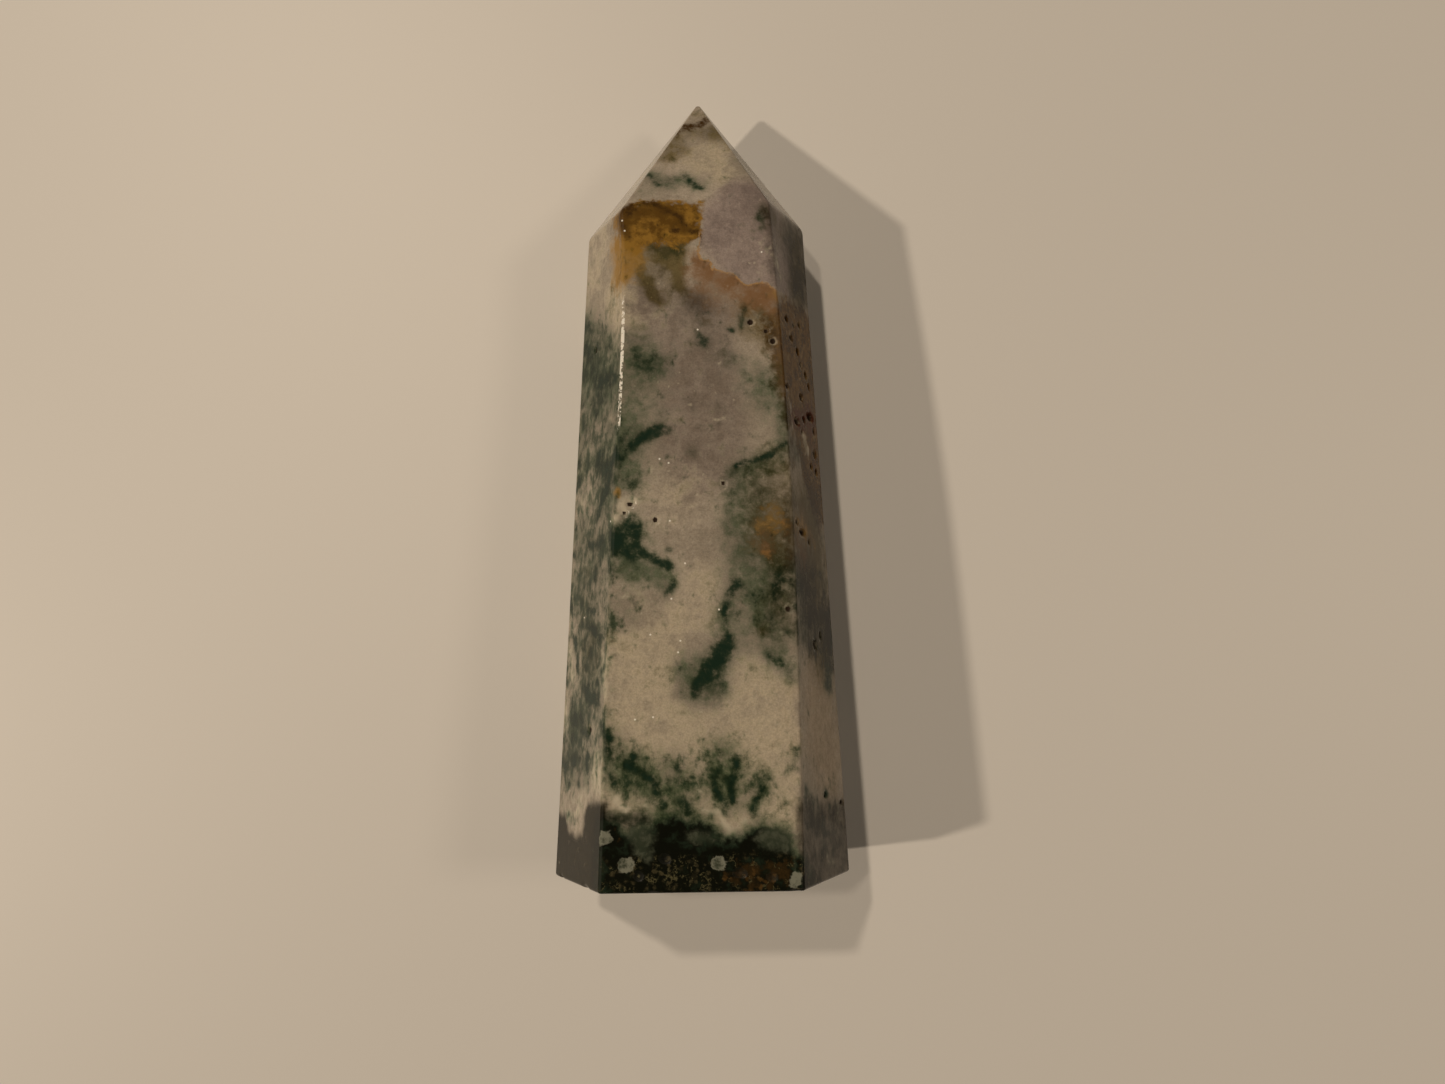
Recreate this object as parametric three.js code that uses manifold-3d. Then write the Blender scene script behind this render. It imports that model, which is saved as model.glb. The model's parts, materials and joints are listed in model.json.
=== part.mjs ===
// A polished moss agate tower: one stone, cut as a six-sided tapering prism with a six-sided point.
// Millimetres. The stone is shaped along its own axis, +Y from the base to the point and +Z through
// its broad upper facet, then laid down on its broad lower facet, so that +Z of the part is up.
import * as THREE from "three";
import { mergeVertices } from "three/addons/utils/BufferGeometryUtils.js";
import Module from "manifold-3d";

// Driving dimensions of the cut stone
const LENGTH = 120; // base to point, along the axis
const SHOULDER = 98.5; // where the second set of widths is measured
const BROAD_BASE = 27.4; // across the two broad facets, at the base
const BROAD_SHOULDER = 20.6;
const NARROW_BASE = 37.8; // across each pair of narrow facets, at the base
const NARROW_SHOULDER = 29.3;
const POINT_RIGHT = 0.5; // how far the point stands off the axis
const POINT_DOWN = 0.4;

// Where each long edge meets the point, from the base. Hand cutting leaves them uneven.
const EDGE_ENDS = {
  right: 98.5,
  upperRight: 98.9,
  upperLeft: 97.7,
  left: 97.4,
  lowerLeft: 97.9,
  lowerRight: 98.7,
};

// How far each long edge bows sideways between the base and the point, to the right where positive,
// and what share of the way along the bow is widest. The broad facets stay flat.
const EDGE_BOWS = {
  right: { by: 0, at: 0.5 },
  upperRight: { by: 1.1, at: 0.54 },
  upperLeft: { by: 0.8, at: 0.8 },
  left: { by: 0, at: 0.5 },
  lowerLeft: { by: -0.5, at: 0.6 },
  lowerRight: { by: -0.4, at: 0.45 },
};

const LONG_EDGE_RADIUS = 0.9;
const SHOULDER_BEVEL = 0.5;
const BASE_BEVEL = 0.5;
const WORN_TIP_RADIUS = 0.35;
const WORN_TIP_RISE = 0.2;
const ARC_STEPS = 3; // faces round each long edge
const STATIONS = 10; // lengths that the long edges are made in

// Facets are numbered anticlockwise as seen from the base end, starting with the upper right one
const FACETS = { upperRight: 0, top: 1, upperLeft: 2, lowerLeft: 3, bottom: 4, lowerRight: 5 };
const FACET_TURN = Math.PI / 3;
const FIRST_NORMAL = Math.PI / 6;
const BROAD_FACETS = [FACETS.top, FACETS.bottom];
// Corner k lies between facet k - 1 and facet k
const CORNERS = ["right", "upperRight", "upperLeft", "left", "lowerLeft", "lowerRight"];

// Pits where softer matrix has dropped out:
// [facet, along the axis, across the facet, size across, size along, depth]
const PITS = [
  ["upperRight", 82.0, 1.4, 0.8, 0.7, 0.4],
  ["upperRight", 81.6, -3.4, 1.1, 0.8, 0.5],
  ["upperRight", 81.4, -0.6, 0.9, 0.7, 0.5],
  ["upperRight", 79.0, -2.2, 1.2, 0.9, 0.6],
  ["upperRight", 77.4, 0.0, 1.1, 1.0, 0.7],
  ["upperRight", 75.6, 1.0, 0.8, 0.7, 0.4],
  ["upperRight", 74.4, 2.6, 0.9, 1.1, 0.6],
  ["upperRight", 72.8, 3.6, 0.8, 0.9, 0.5],
  ["upperRight", 70.9, -5.2, 1.2, 0.8, 0.5],
  ["upperRight", 70.4, 0.2, 1.4, 1.0, 0.8],
  ["upperRight", 68.0, 3.3, 2.6, 1.2, 1.1],
  ["upperRight", 67.1, 0.6, 1.0, 0.8, 0.6],
  ["upperRight", 66.2, -2.3, 2.0, 1.1, 0.9],
  ["upperRight", 66.0, 4.6, 0.8, 1.0, 0.5],
  ["upperRight", 65.0, -0.4, 0.8, 0.7, 0.4],
  ["upperRight", 62.4, 4.3, 1.3, 1.2, 0.8],
  ["upperRight", 60.2, 2.4, 0.9, 0.8, 0.5],
  ["upperRight", 59.6, 4.4, 0.9, 0.9, 0.5],
  ["upperRight", 50.9, -5.0, 1.0, 0.8, 0.5],
  ["upperRight", 49.6, -3.0, 2.3, 0.9, 0.7],
  ["upperRight", 48.3, -0.6, 0.8, 0.7, 0.4],
  ["upperRight", 34.7, 1.8, 0.9, 0.8, 0.5],
  ["upperRight", 33.4, -0.5, 1.4, 1.0, 0.8],
  ["upperRight", 11.8, 0.6, 0.9, 0.8, 0.5],
  ["upperRight", 10.2, 6.4, 1.4, 0.8, 0.6],
  ["top", 80.4, 7.2, 1.1, 1.1, 0.5],
  ["top", 79.0, 9.4, 0.8, 0.8, 0.4],
  ["top", 77.5, 10.4, 1.0, 1.1, 0.5],
  ["top", 56.5, 2.9, 0.8, 0.8, 0.4],
  ["top", 53.6, -10.4, 1.2, 0.8, 0.5],
  ["top", 52.3, -11.2, 0.8, 0.7, 0.4],
  ["top", 51.3, -6.8, 0.9, 1.0, 0.4],
  ["top", 38.4, 12.0, 1.0, 1.1, 0.4],
  ["top", 4.6, -5.0, 1.3, 1.0, 0.5],
  ["top", 2.6, 5.2, 1.6, 1.0, 0.5],
  ["top", 2.4, -8.6, 1.1, 1.0, 0.4],
  ["top", 2.0, 9.6, 1.2, 0.9, 0.4],
  ["upperLeft", 78.4, -1.8, 0.8, 0.9, 0.4],
  ["upperLeft", 21.8, 2.6, 1.0, 1.2, 0.4],
  ["lowerRight", 72.0, -3.0, 1.6, 1.2, 0.8],
  ["lowerRight", 64.6, 1.6, 1.2, 1.0, 0.6],
  ["lowerRight", 62.8, -1.4, 0.9, 0.8, 0.5],
  ["lowerRight", 51.0, -4.2, 1.4, 1.7, 0.7],
  ["lowerLeft", 58.0, 2.2, 1.0, 1.2, 0.5],
  ["lowerLeft", 34.0, -2.8, 1.3, 1.0, 0.6],
  ["bottom", 67.0, 4.2, 1.4, 1.8, 0.6],
];
// Small chips along the base's rim: how many on each side, their sizes, and the seed of their places
const CHIPS_ON_BROAD_SIDE = 7;
const CHIPS_ON_NARROW_SIDE = 4;
const CHIP_WIDTH = [1.4, 3.4];
const CHIP_DEPTH = [0.3, 0.6];
const LUMP_ROUGHNESS = 0.22; // of the lumps that pits and chips are cut with
const LUMP_DETAIL = 1;
const SEED = 20;

const wasm = await Module();
wasm.setup();

// Seeded random numbers from 0 to 1
function randomSource(seed) {
  let state = seed;
  return () => {
    state = (state * 1664525 + 1013904223) % 4294967296;
    return state / 4294967296;
  };
}

const random = randomSource(SEED);
const between = ([low, high]) => low + (high - low) * random();

// Distance of a facet from the axis, at a place along it
function apothem(facet, along) {
  const broad = BROAD_FACETS.includes(facet);
  const atBase = (broad ? BROAD_BASE : NARROW_BASE) / 2;
  const atShoulder = (broad ? BROAD_SHOULDER : NARROW_SHOULDER) / 2;
  return atBase + ((atShoulder - atBase) * along) / SHOULDER;
}

// A facet's outward direction and the direction across it, in the section plane
function facetFrame(facet) {
  const turn = FIRST_NORMAL + facet * FACET_TURN;
  return {
    out: new THREE.Vector3(Math.cos(turn), 0, Math.sin(turn)),
    across: new THREE.Vector3(Math.sin(turn), 0, -Math.cos(turn)),
  };
}

// How far the edge at corner k has bowed at a place along it
function bow(k, along) {
  const { by, at } = EDGE_BOWS[CORNERS[k]];
  const share = THREE.MathUtils.clamp(along / EDGE_ENDS[CORNERS[k]], 0, 1);
  return by * Math.sin(Math.PI * share ** (Math.log(0.5) / Math.log(at)));
}

// The sharp corner between facet k - 1 and facet k, at a place along the axis, drawn in by inset
function corner(k, along, inset = 0) {
  const before = (k + 5) % 6;
  const a = facetFrame(before).out;
  const b = facetFrame(k).out;
  const da = apothem(before, along) - inset;
  const db = apothem(k, along) - inset;
  const det = a.x * b.z - a.z * b.x;
  const x = (da * b.z - db * a.z) / det + bow(k, along);
  return new THREE.Vector3(x, along, (a.x * db - b.x * da) / det);
}

// The corner rounded by an arc, as a few points
function roundedCorner(k, along, inset = 0) {
  const centre = corner(k, along, inset + LONG_EDGE_RADIUS);
  const start = FIRST_NORMAL + (k - 1) * FACET_TURN;
  return Array.from({ length: ARC_STEPS + 1 }, (_, i) => {
    const turn = start + (FACET_TURN * i) / ARC_STEPS;
    const outwards = new THREE.Vector3(Math.cos(turn), 0, Math.sin(turn));
    return centre.clone().addScaledVector(outwards, LONG_EDGE_RADIUS);
  });
}

// A whole section: a rounded corner on each long edge, at the place that placeOf gives for that edge
function section(placeOf, inset = 0) {
  return CORNERS.flatMap((name, k) => roundedCorner(k, placeOf(EDGE_ENDS[name]), inset));
}

const point = new THREE.Vector3(POINT_RIGHT, LENGTH, -POINT_DOWN);

// The sections from the base's bevelled rim, up the long edges and over the shoulder to the worn tip
function sections() {
  const shoulder = section((edgeEnd) => edgeEnd);
  const towardsPoint = (p, share) => p.clone().lerp(point, share);
  const list = [section(() => 0, BASE_BEVEL), section(() => BASE_BEVEL)];
  for (let i = 1; i < STATIONS; i++) {
    list.push(section((edgeEnd) => (edgeEnd * i) / STATIONS));
  }
  list.push(section((edgeEnd) => edgeEnd - SHOULDER_BEVEL));
  list.push(shoulder.map((p) => towardsPoint(p, SHOULDER_BEVEL / p.distanceTo(point))));
  list.push(shoulder.map((p) => towardsPoint(p, 1 - WORN_TIP_RADIUS / Math.hypot(p.x, p.z))));
  return list;
}

// The middle of a section's points
function middleOf(points) {
  const sum = points.reduce((total, p) => total.add(p), new THREE.Vector3());
  return sum.divideScalar(points.length);
}

// The stone before it wears: its sections skinned together and closed at the base and the tip
function cutStone() {
  const rings = sections();
  const around = rings[0].length;
  const baseMiddle = middleOf(rings[0]);
  const tip = middleOf(rings.at(-1)).add(new THREE.Vector3(0, WORN_TIP_RISE, 0));
  const points = [...rings.flat(), baseMiddle, tip];
  const lastRing = (rings.length - 1) * around;
  const [baseIndex, tipIndex] = [points.length - 2, points.length - 1];
  const triangles = [];
  for (let i = 0; i < around; i++) {
    const next = (i + 1) % around;
    triangles.push(baseIndex, i, next);
    triangles.push(tipIndex, lastRing + next, lastRing + i);
    for (let ring = 0; ring < lastRing; ring += around) {
      triangles.push(ring + i, ring + around + i, ring + next);
      triangles.push(ring + next, ring + around + i, ring + around + next);
    }
  }
  const geometry = new THREE.BufferGeometry().setFromPoints(points);
  geometry.setIndex(triangles);
  return geometry;
}

// A closed three.js geometry as a solid
function solid(geometry) {
  const bare = geometry.clone();
  bare.deleteAttribute("normal");
  bare.deleteAttribute("uv");
  const merged = mergeVertices(bare, 1e-4);
  return new wasm.Manifold(
    new wasm.Mesh({
      numProp: 3,
      vertProperties: new Float32Array(merged.attributes.position.array),
      triVerts: new Uint32Array(merged.index.array),
    }),
  );
}

// A rough lump, its surface jittered point by point, stretched to its half sizes and set in place
function lump(centre, { out, across }, halfSizes) {
  const geometry = mergeVertices(bareSphere(), 1e-4);
  const position = geometry.attributes.position;
  const v = new THREE.Vector3();
  for (let i = 0; i < position.count; i++) {
    v.fromBufferAttribute(position, i).multiplyScalar(1 + between([-LUMP_ROUGHNESS, LUMP_ROUGHNESS]));
    position.setXYZ(i, v.x, v.y, v.z);
  }
  const along = new THREE.Vector3().crossVectors(out, across);
  geometry.scale(...halfSizes);
  geometry.applyMatrix4(new THREE.Matrix4().makeBasis(across, along, out));
  geometry.translate(centre.x, centre.y, centre.z);
  return solid(geometry);
}

function bareSphere() {
  const geometry = new THREE.IcosahedronGeometry(1, LUMP_DETAIL);
  geometry.deleteAttribute("normal");
  geometry.deleteAttribute("uv");
  return geometry;
}

// A pit, centred on its facet's own surface between the two long edges
function pit([name, along, across, sizeAcross, sizeAlong, depth]) {
  const facet = FACETS[name];
  const frame = facetFrame(facet);
  const rightEdge = corner(facet, along);
  const leftEdge = corner((facet + 1) % 6, along);
  const share = 0.5 - across / rightEdge.distanceTo(leftEdge);
  const centre = rightEdge.lerp(leftEdge, share);
  return lump(centre, frame, [sizeAcross / 2, sizeAlong / 2, depth]);
}

// Chips along the rim of one side of the base
function rimChips(facet) {
  const count = BROAD_FACETS.includes(facet) ? CHIPS_ON_BROAD_SIDE : CHIPS_ON_NARROW_SIDE;
  const frame = facetFrame(facet);
  const from = corner(facet, 0);
  const to = corner((facet + 1) % 6, 0);
  return Array.from({ length: count }, (_, i) => {
    const place = from.clone().lerp(to, (i + 0.15 + 0.7 * random()) / count);
    const half = between(CHIP_WIDTH) / 2;
    const depth = between(CHIP_DEPTH);
    place.addScaledVector(frame.out, -BASE_BEVEL / 2);
    return lump(place, frame, [half, depth, depth]);
  });
}

// The worn stone: pits and chips taken out of the cut one
function wornStone() {
  const lumps = [...PITS.map(pit), ...Object.values(FACETS).flatMap(rimChips)];
  const made = lumps.reduce((left, cutter) => left.subtract(cutter), solid(cutStone()));
  const mesh = made.getMesh();
  const geometry = new THREE.BufferGeometry();
  geometry.setAttribute("position", new THREE.BufferAttribute(mesh.vertProperties, 3));
  geometry.setIndex(new THREE.BufferAttribute(mesh.triVerts, 1));
  geometry.computeVertexNormals();
  return geometry;
}

const polishedAgate = new THREE.MeshStandardMaterial({
  color: new THREE.Color(0.42, 0.4, 0.36),
  roughness: 0.25,
  metalness: 0,
});

const tower = new THREE.Mesh(wornStone(), polishedAgate);
tower.name = "tower";

// Laid on its lower facet: the taper tips the axis down towards the point
const layDown = Math.atan((BROAD_BASE - BROAD_SHOULDER) / 2 / SHOULDER);
tower.rotation.x = -layDown;
tower.updateMatrixWorld(true);
const extent = new THREE.Box3().setFromObject(tower, true);
const middle = extent.getCenter(new THREE.Vector3());
tower.position.set(-middle.x, -middle.y, -extent.min.z);

const mossAgateTower = new THREE.Group();
mossAgateTower.add(tower);

export default mossAgateTower;
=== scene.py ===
import json
import math

import bpy
import numpy as np
from mathutils import Matrix, Vector, noise


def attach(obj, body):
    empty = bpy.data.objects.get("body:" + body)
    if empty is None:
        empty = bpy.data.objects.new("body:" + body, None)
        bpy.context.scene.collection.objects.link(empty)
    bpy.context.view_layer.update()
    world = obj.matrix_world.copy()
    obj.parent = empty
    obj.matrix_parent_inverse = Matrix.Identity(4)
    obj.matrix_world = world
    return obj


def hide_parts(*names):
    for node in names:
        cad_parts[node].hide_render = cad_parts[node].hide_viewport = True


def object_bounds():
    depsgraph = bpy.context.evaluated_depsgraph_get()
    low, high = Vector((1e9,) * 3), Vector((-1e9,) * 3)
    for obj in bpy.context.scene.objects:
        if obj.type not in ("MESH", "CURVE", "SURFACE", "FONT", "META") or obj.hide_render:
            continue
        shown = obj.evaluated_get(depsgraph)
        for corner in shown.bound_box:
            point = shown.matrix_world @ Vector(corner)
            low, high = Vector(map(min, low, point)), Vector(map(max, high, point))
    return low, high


# The moss agate tower, polished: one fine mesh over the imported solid, with its pits, chips and markings.
# The stone is shaped in millimetres in its own frame, +Y from the base to the point and +Z through its
# broad upper facet, and then laid in the part's frame in metres.

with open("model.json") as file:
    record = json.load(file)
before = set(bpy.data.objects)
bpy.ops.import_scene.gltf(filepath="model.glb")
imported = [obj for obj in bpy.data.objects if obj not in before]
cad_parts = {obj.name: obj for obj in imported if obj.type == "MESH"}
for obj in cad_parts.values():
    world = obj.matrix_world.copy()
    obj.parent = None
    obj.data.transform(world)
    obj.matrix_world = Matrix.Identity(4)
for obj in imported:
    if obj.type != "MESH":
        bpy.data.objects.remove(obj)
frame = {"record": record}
cad_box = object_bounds()

# The cut stone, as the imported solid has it
LENGTH = 120
SHOULDER = 98.5
BROAD_BASE = 27.4
BROAD_SHOULDER = 20.6
NARROW_BASE = 37.8
NARROW_SHOULDER = 29.3
POINT = np.array([0.5, LENGTH, -0.4])
CORNERS = ["right", "upperRight", "upperLeft", "left", "lowerLeft", "lowerRight"]
FACETS = {"upperRight": 0, "top": 1, "upperLeft": 2, "lowerLeft": 3, "bottom": 4, "lowerRight": 5}
POINT_FACETS = {"pointRight": 0, "pointTop": 1, "pointLeft": 2}
BROAD_FACETS = (FACETS["top"], FACETS["bottom"])
EDGE_ENDS = {
    "right": 98.5,
    "upperRight": 98.9,
    "upperLeft": 97.7,
    "left": 97.4,
    "lowerLeft": 97.9,
    "lowerRight": 98.7,
}
# How far each long edge bows to the right, and what share of the way along the bow is widest
EDGE_BOWS = {
    "right": (0, 0.5),
    "upperRight": (1.1, 0.54),
    "upperLeft": (0.8, 0.8),
    "left": (0, 0.5),
    "lowerLeft": (-0.5, 0.6),
    "lowerRight": (-0.4, 0.45),
}
SIDE_EDGE_RADIUS = 0.9
BROAD_EDGE_RADIUS = 0.5
BASE_BEVEL = 0.5
SHOULDER_ROUNDING = 0.6
WORN_TIP_RADIUS = 0.35
WORN_TIP_RISE = 0.2

# How finely the mesh follows the stone
ARC_STEPS = 3
FACET_STEPS = {
    "upperRight": 56,
    "top": 74,
    "upperLeft": 42,
    "lowerLeft": 30,
    "bottom": 42,
    "lowerRight": 32,
}
# The first row of points on a facet is this near its edge, which keeps the edge crisp
EDGE_MARGIN = 0.06
ROUNDING_STEPS = 5
BASE_RINGS = 12
# [how far along the stone, spacing of the rings up to there]: closest where the pits are
RING_SPACINGS = [(12, 0.33), (46, 0.48), (52, 0.35), (58, 0.42), (84, 0.3), (SHOULDER - 1, 0.4)]
POINT_RING_SPACING = 0.45

# Pits: (facet, along the axis, across the facet, size across, size along, depth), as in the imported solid
PITS = [
    ("upperRight", 82.0, 1.4, 0.8, 0.7, 0.4),
    ("upperRight", 81.6, -3.4, 1.1, 0.8, 0.5),
    ("upperRight", 81.4, -0.6, 0.9, 0.7, 0.5),
    ("upperRight", 79.0, -2.2, 1.2, 0.9, 0.6),
    ("upperRight", 77.4, 0.0, 1.1, 1.0, 0.7),
    ("upperRight", 75.6, 1.0, 0.8, 0.7, 0.4),
    ("upperRight", 74.4, 2.6, 0.9, 1.1, 0.6),
    ("upperRight", 72.8, 3.6, 0.8, 0.9, 0.5),
    ("upperRight", 70.9, -5.2, 1.2, 0.8, 0.5),
    ("upperRight", 70.4, 0.2, 1.4, 1.0, 0.8),
    ("upperRight", 68.0, 3.3, 2.6, 1.2, 1.1),
    ("upperRight", 67.1, 0.6, 1.0, 0.8, 0.6),
    ("upperRight", 66.2, -2.3, 2.0, 1.1, 0.9),
    ("upperRight", 66.0, 4.6, 0.8, 1.0, 0.5),
    ("upperRight", 65.0, -0.4, 0.8, 0.7, 0.4),
    ("upperRight", 62.4, 4.3, 1.3, 1.2, 0.8),
    ("upperRight", 60.2, 2.4, 0.9, 0.8, 0.5),
    ("upperRight", 59.6, 4.4, 0.9, 0.9, 0.5),
    ("upperRight", 50.9, -5.0, 1.0, 0.8, 0.5),
    ("upperRight", 49.6, -3.0, 2.3, 0.9, 0.7),
    ("upperRight", 48.3, -0.6, 0.8, 0.7, 0.4),
    ("upperRight", 34.7, 1.8, 0.9, 0.8, 0.5),
    ("upperRight", 33.4, -0.5, 1.4, 1.0, 0.8),
    ("upperRight", 11.8, 0.6, 0.9, 0.8, 0.5),
    ("upperRight", 10.2, 6.4, 1.4, 0.8, 0.6),
    ("top", 80.4, 7.2, 1.1, 1.1, 0.5),
    ("top", 79.0, 9.4, 0.8, 0.8, 0.4),
    ("top", 77.5, 10.4, 1.0, 1.1, 0.5),
    ("top", 56.5, 2.9, 0.8, 0.8, 0.4),
    ("top", 53.6, -10.4, 1.2, 0.8, 0.5),
    ("top", 52.3, -11.2, 0.8, 0.7, 0.4),
    ("top", 51.3, -6.8, 0.9, 1.0, 0.4),
    ("top", 38.4, 12.0, 1.0, 1.1, 0.4),
    ("top", 4.6, -5.0, 1.3, 1.0, 0.5),
    ("top", 2.6, 5.2, 1.6, 1.0, 0.5),
    ("top", 2.4, -8.6, 1.1, 1.0, 0.4),
    ("top", 2.0, 9.6, 1.2, 0.9, 0.4),
    ("upperLeft", 78.4, -1.8, 0.8, 0.9, 0.4),
    ("upperLeft", 21.8, 2.6, 1.0, 1.2, 0.4),
    ("lowerRight", 72.0, -3.0, 1.6, 1.2, 0.8),
    ("lowerRight", 64.6, 1.6, 1.2, 1.0, 0.6),
    ("lowerRight", 62.8, -1.4, 0.9, 0.8, 0.5),
    ("lowerRight", 51.0, -4.2, 1.4, 1.7, 0.7),
    ("lowerLeft", 58.0, 2.2, 1.0, 1.2, 0.5),
    ("lowerLeft", 34.0, -2.8, 1.3, 1.0, 0.6),
    ("bottom", 67.0, 4.2, 1.4, 1.8, 0.6),
]
PIT_RAGGEDNESS = 0.35
PIT_RAGGED_SIZE = 0.7
# Over 1, which gives each bowl a flat floor
PIT_FULLNESS = 1.15
# How far from its middle a pit is felt: in radii along the facet, and above its depth in millimetres
PIT_REACH = 2
PIT_MARGIN = 0.5

# Chips along the base's rim: how many on each side, and their half widths and depths
CHIPS_ON_BROAD_SIDE = 9
CHIPS_ON_NARROW_SIDE = 2
CHIP_HALF_WIDTHS = (0.4, 1.7)
CHIP_DEPTHS = (0.06, 0.36)
# The part of its own stretch of the rim where each chip may lie
CHIP_STRETCH = (0.15, 0.85)
# How far a chip reaches away from the rim, in depths
CHIP_BREADTH = 2.2
CHIP_SEED = 20

# The front left edge is bruised here and catches the light, and a broken highlight is painted along it
BRUISE_ALONG = (64, 85)
BRUISE_DEPTH = 0.05
BRUISE_GRAIN = 0.5

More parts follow.
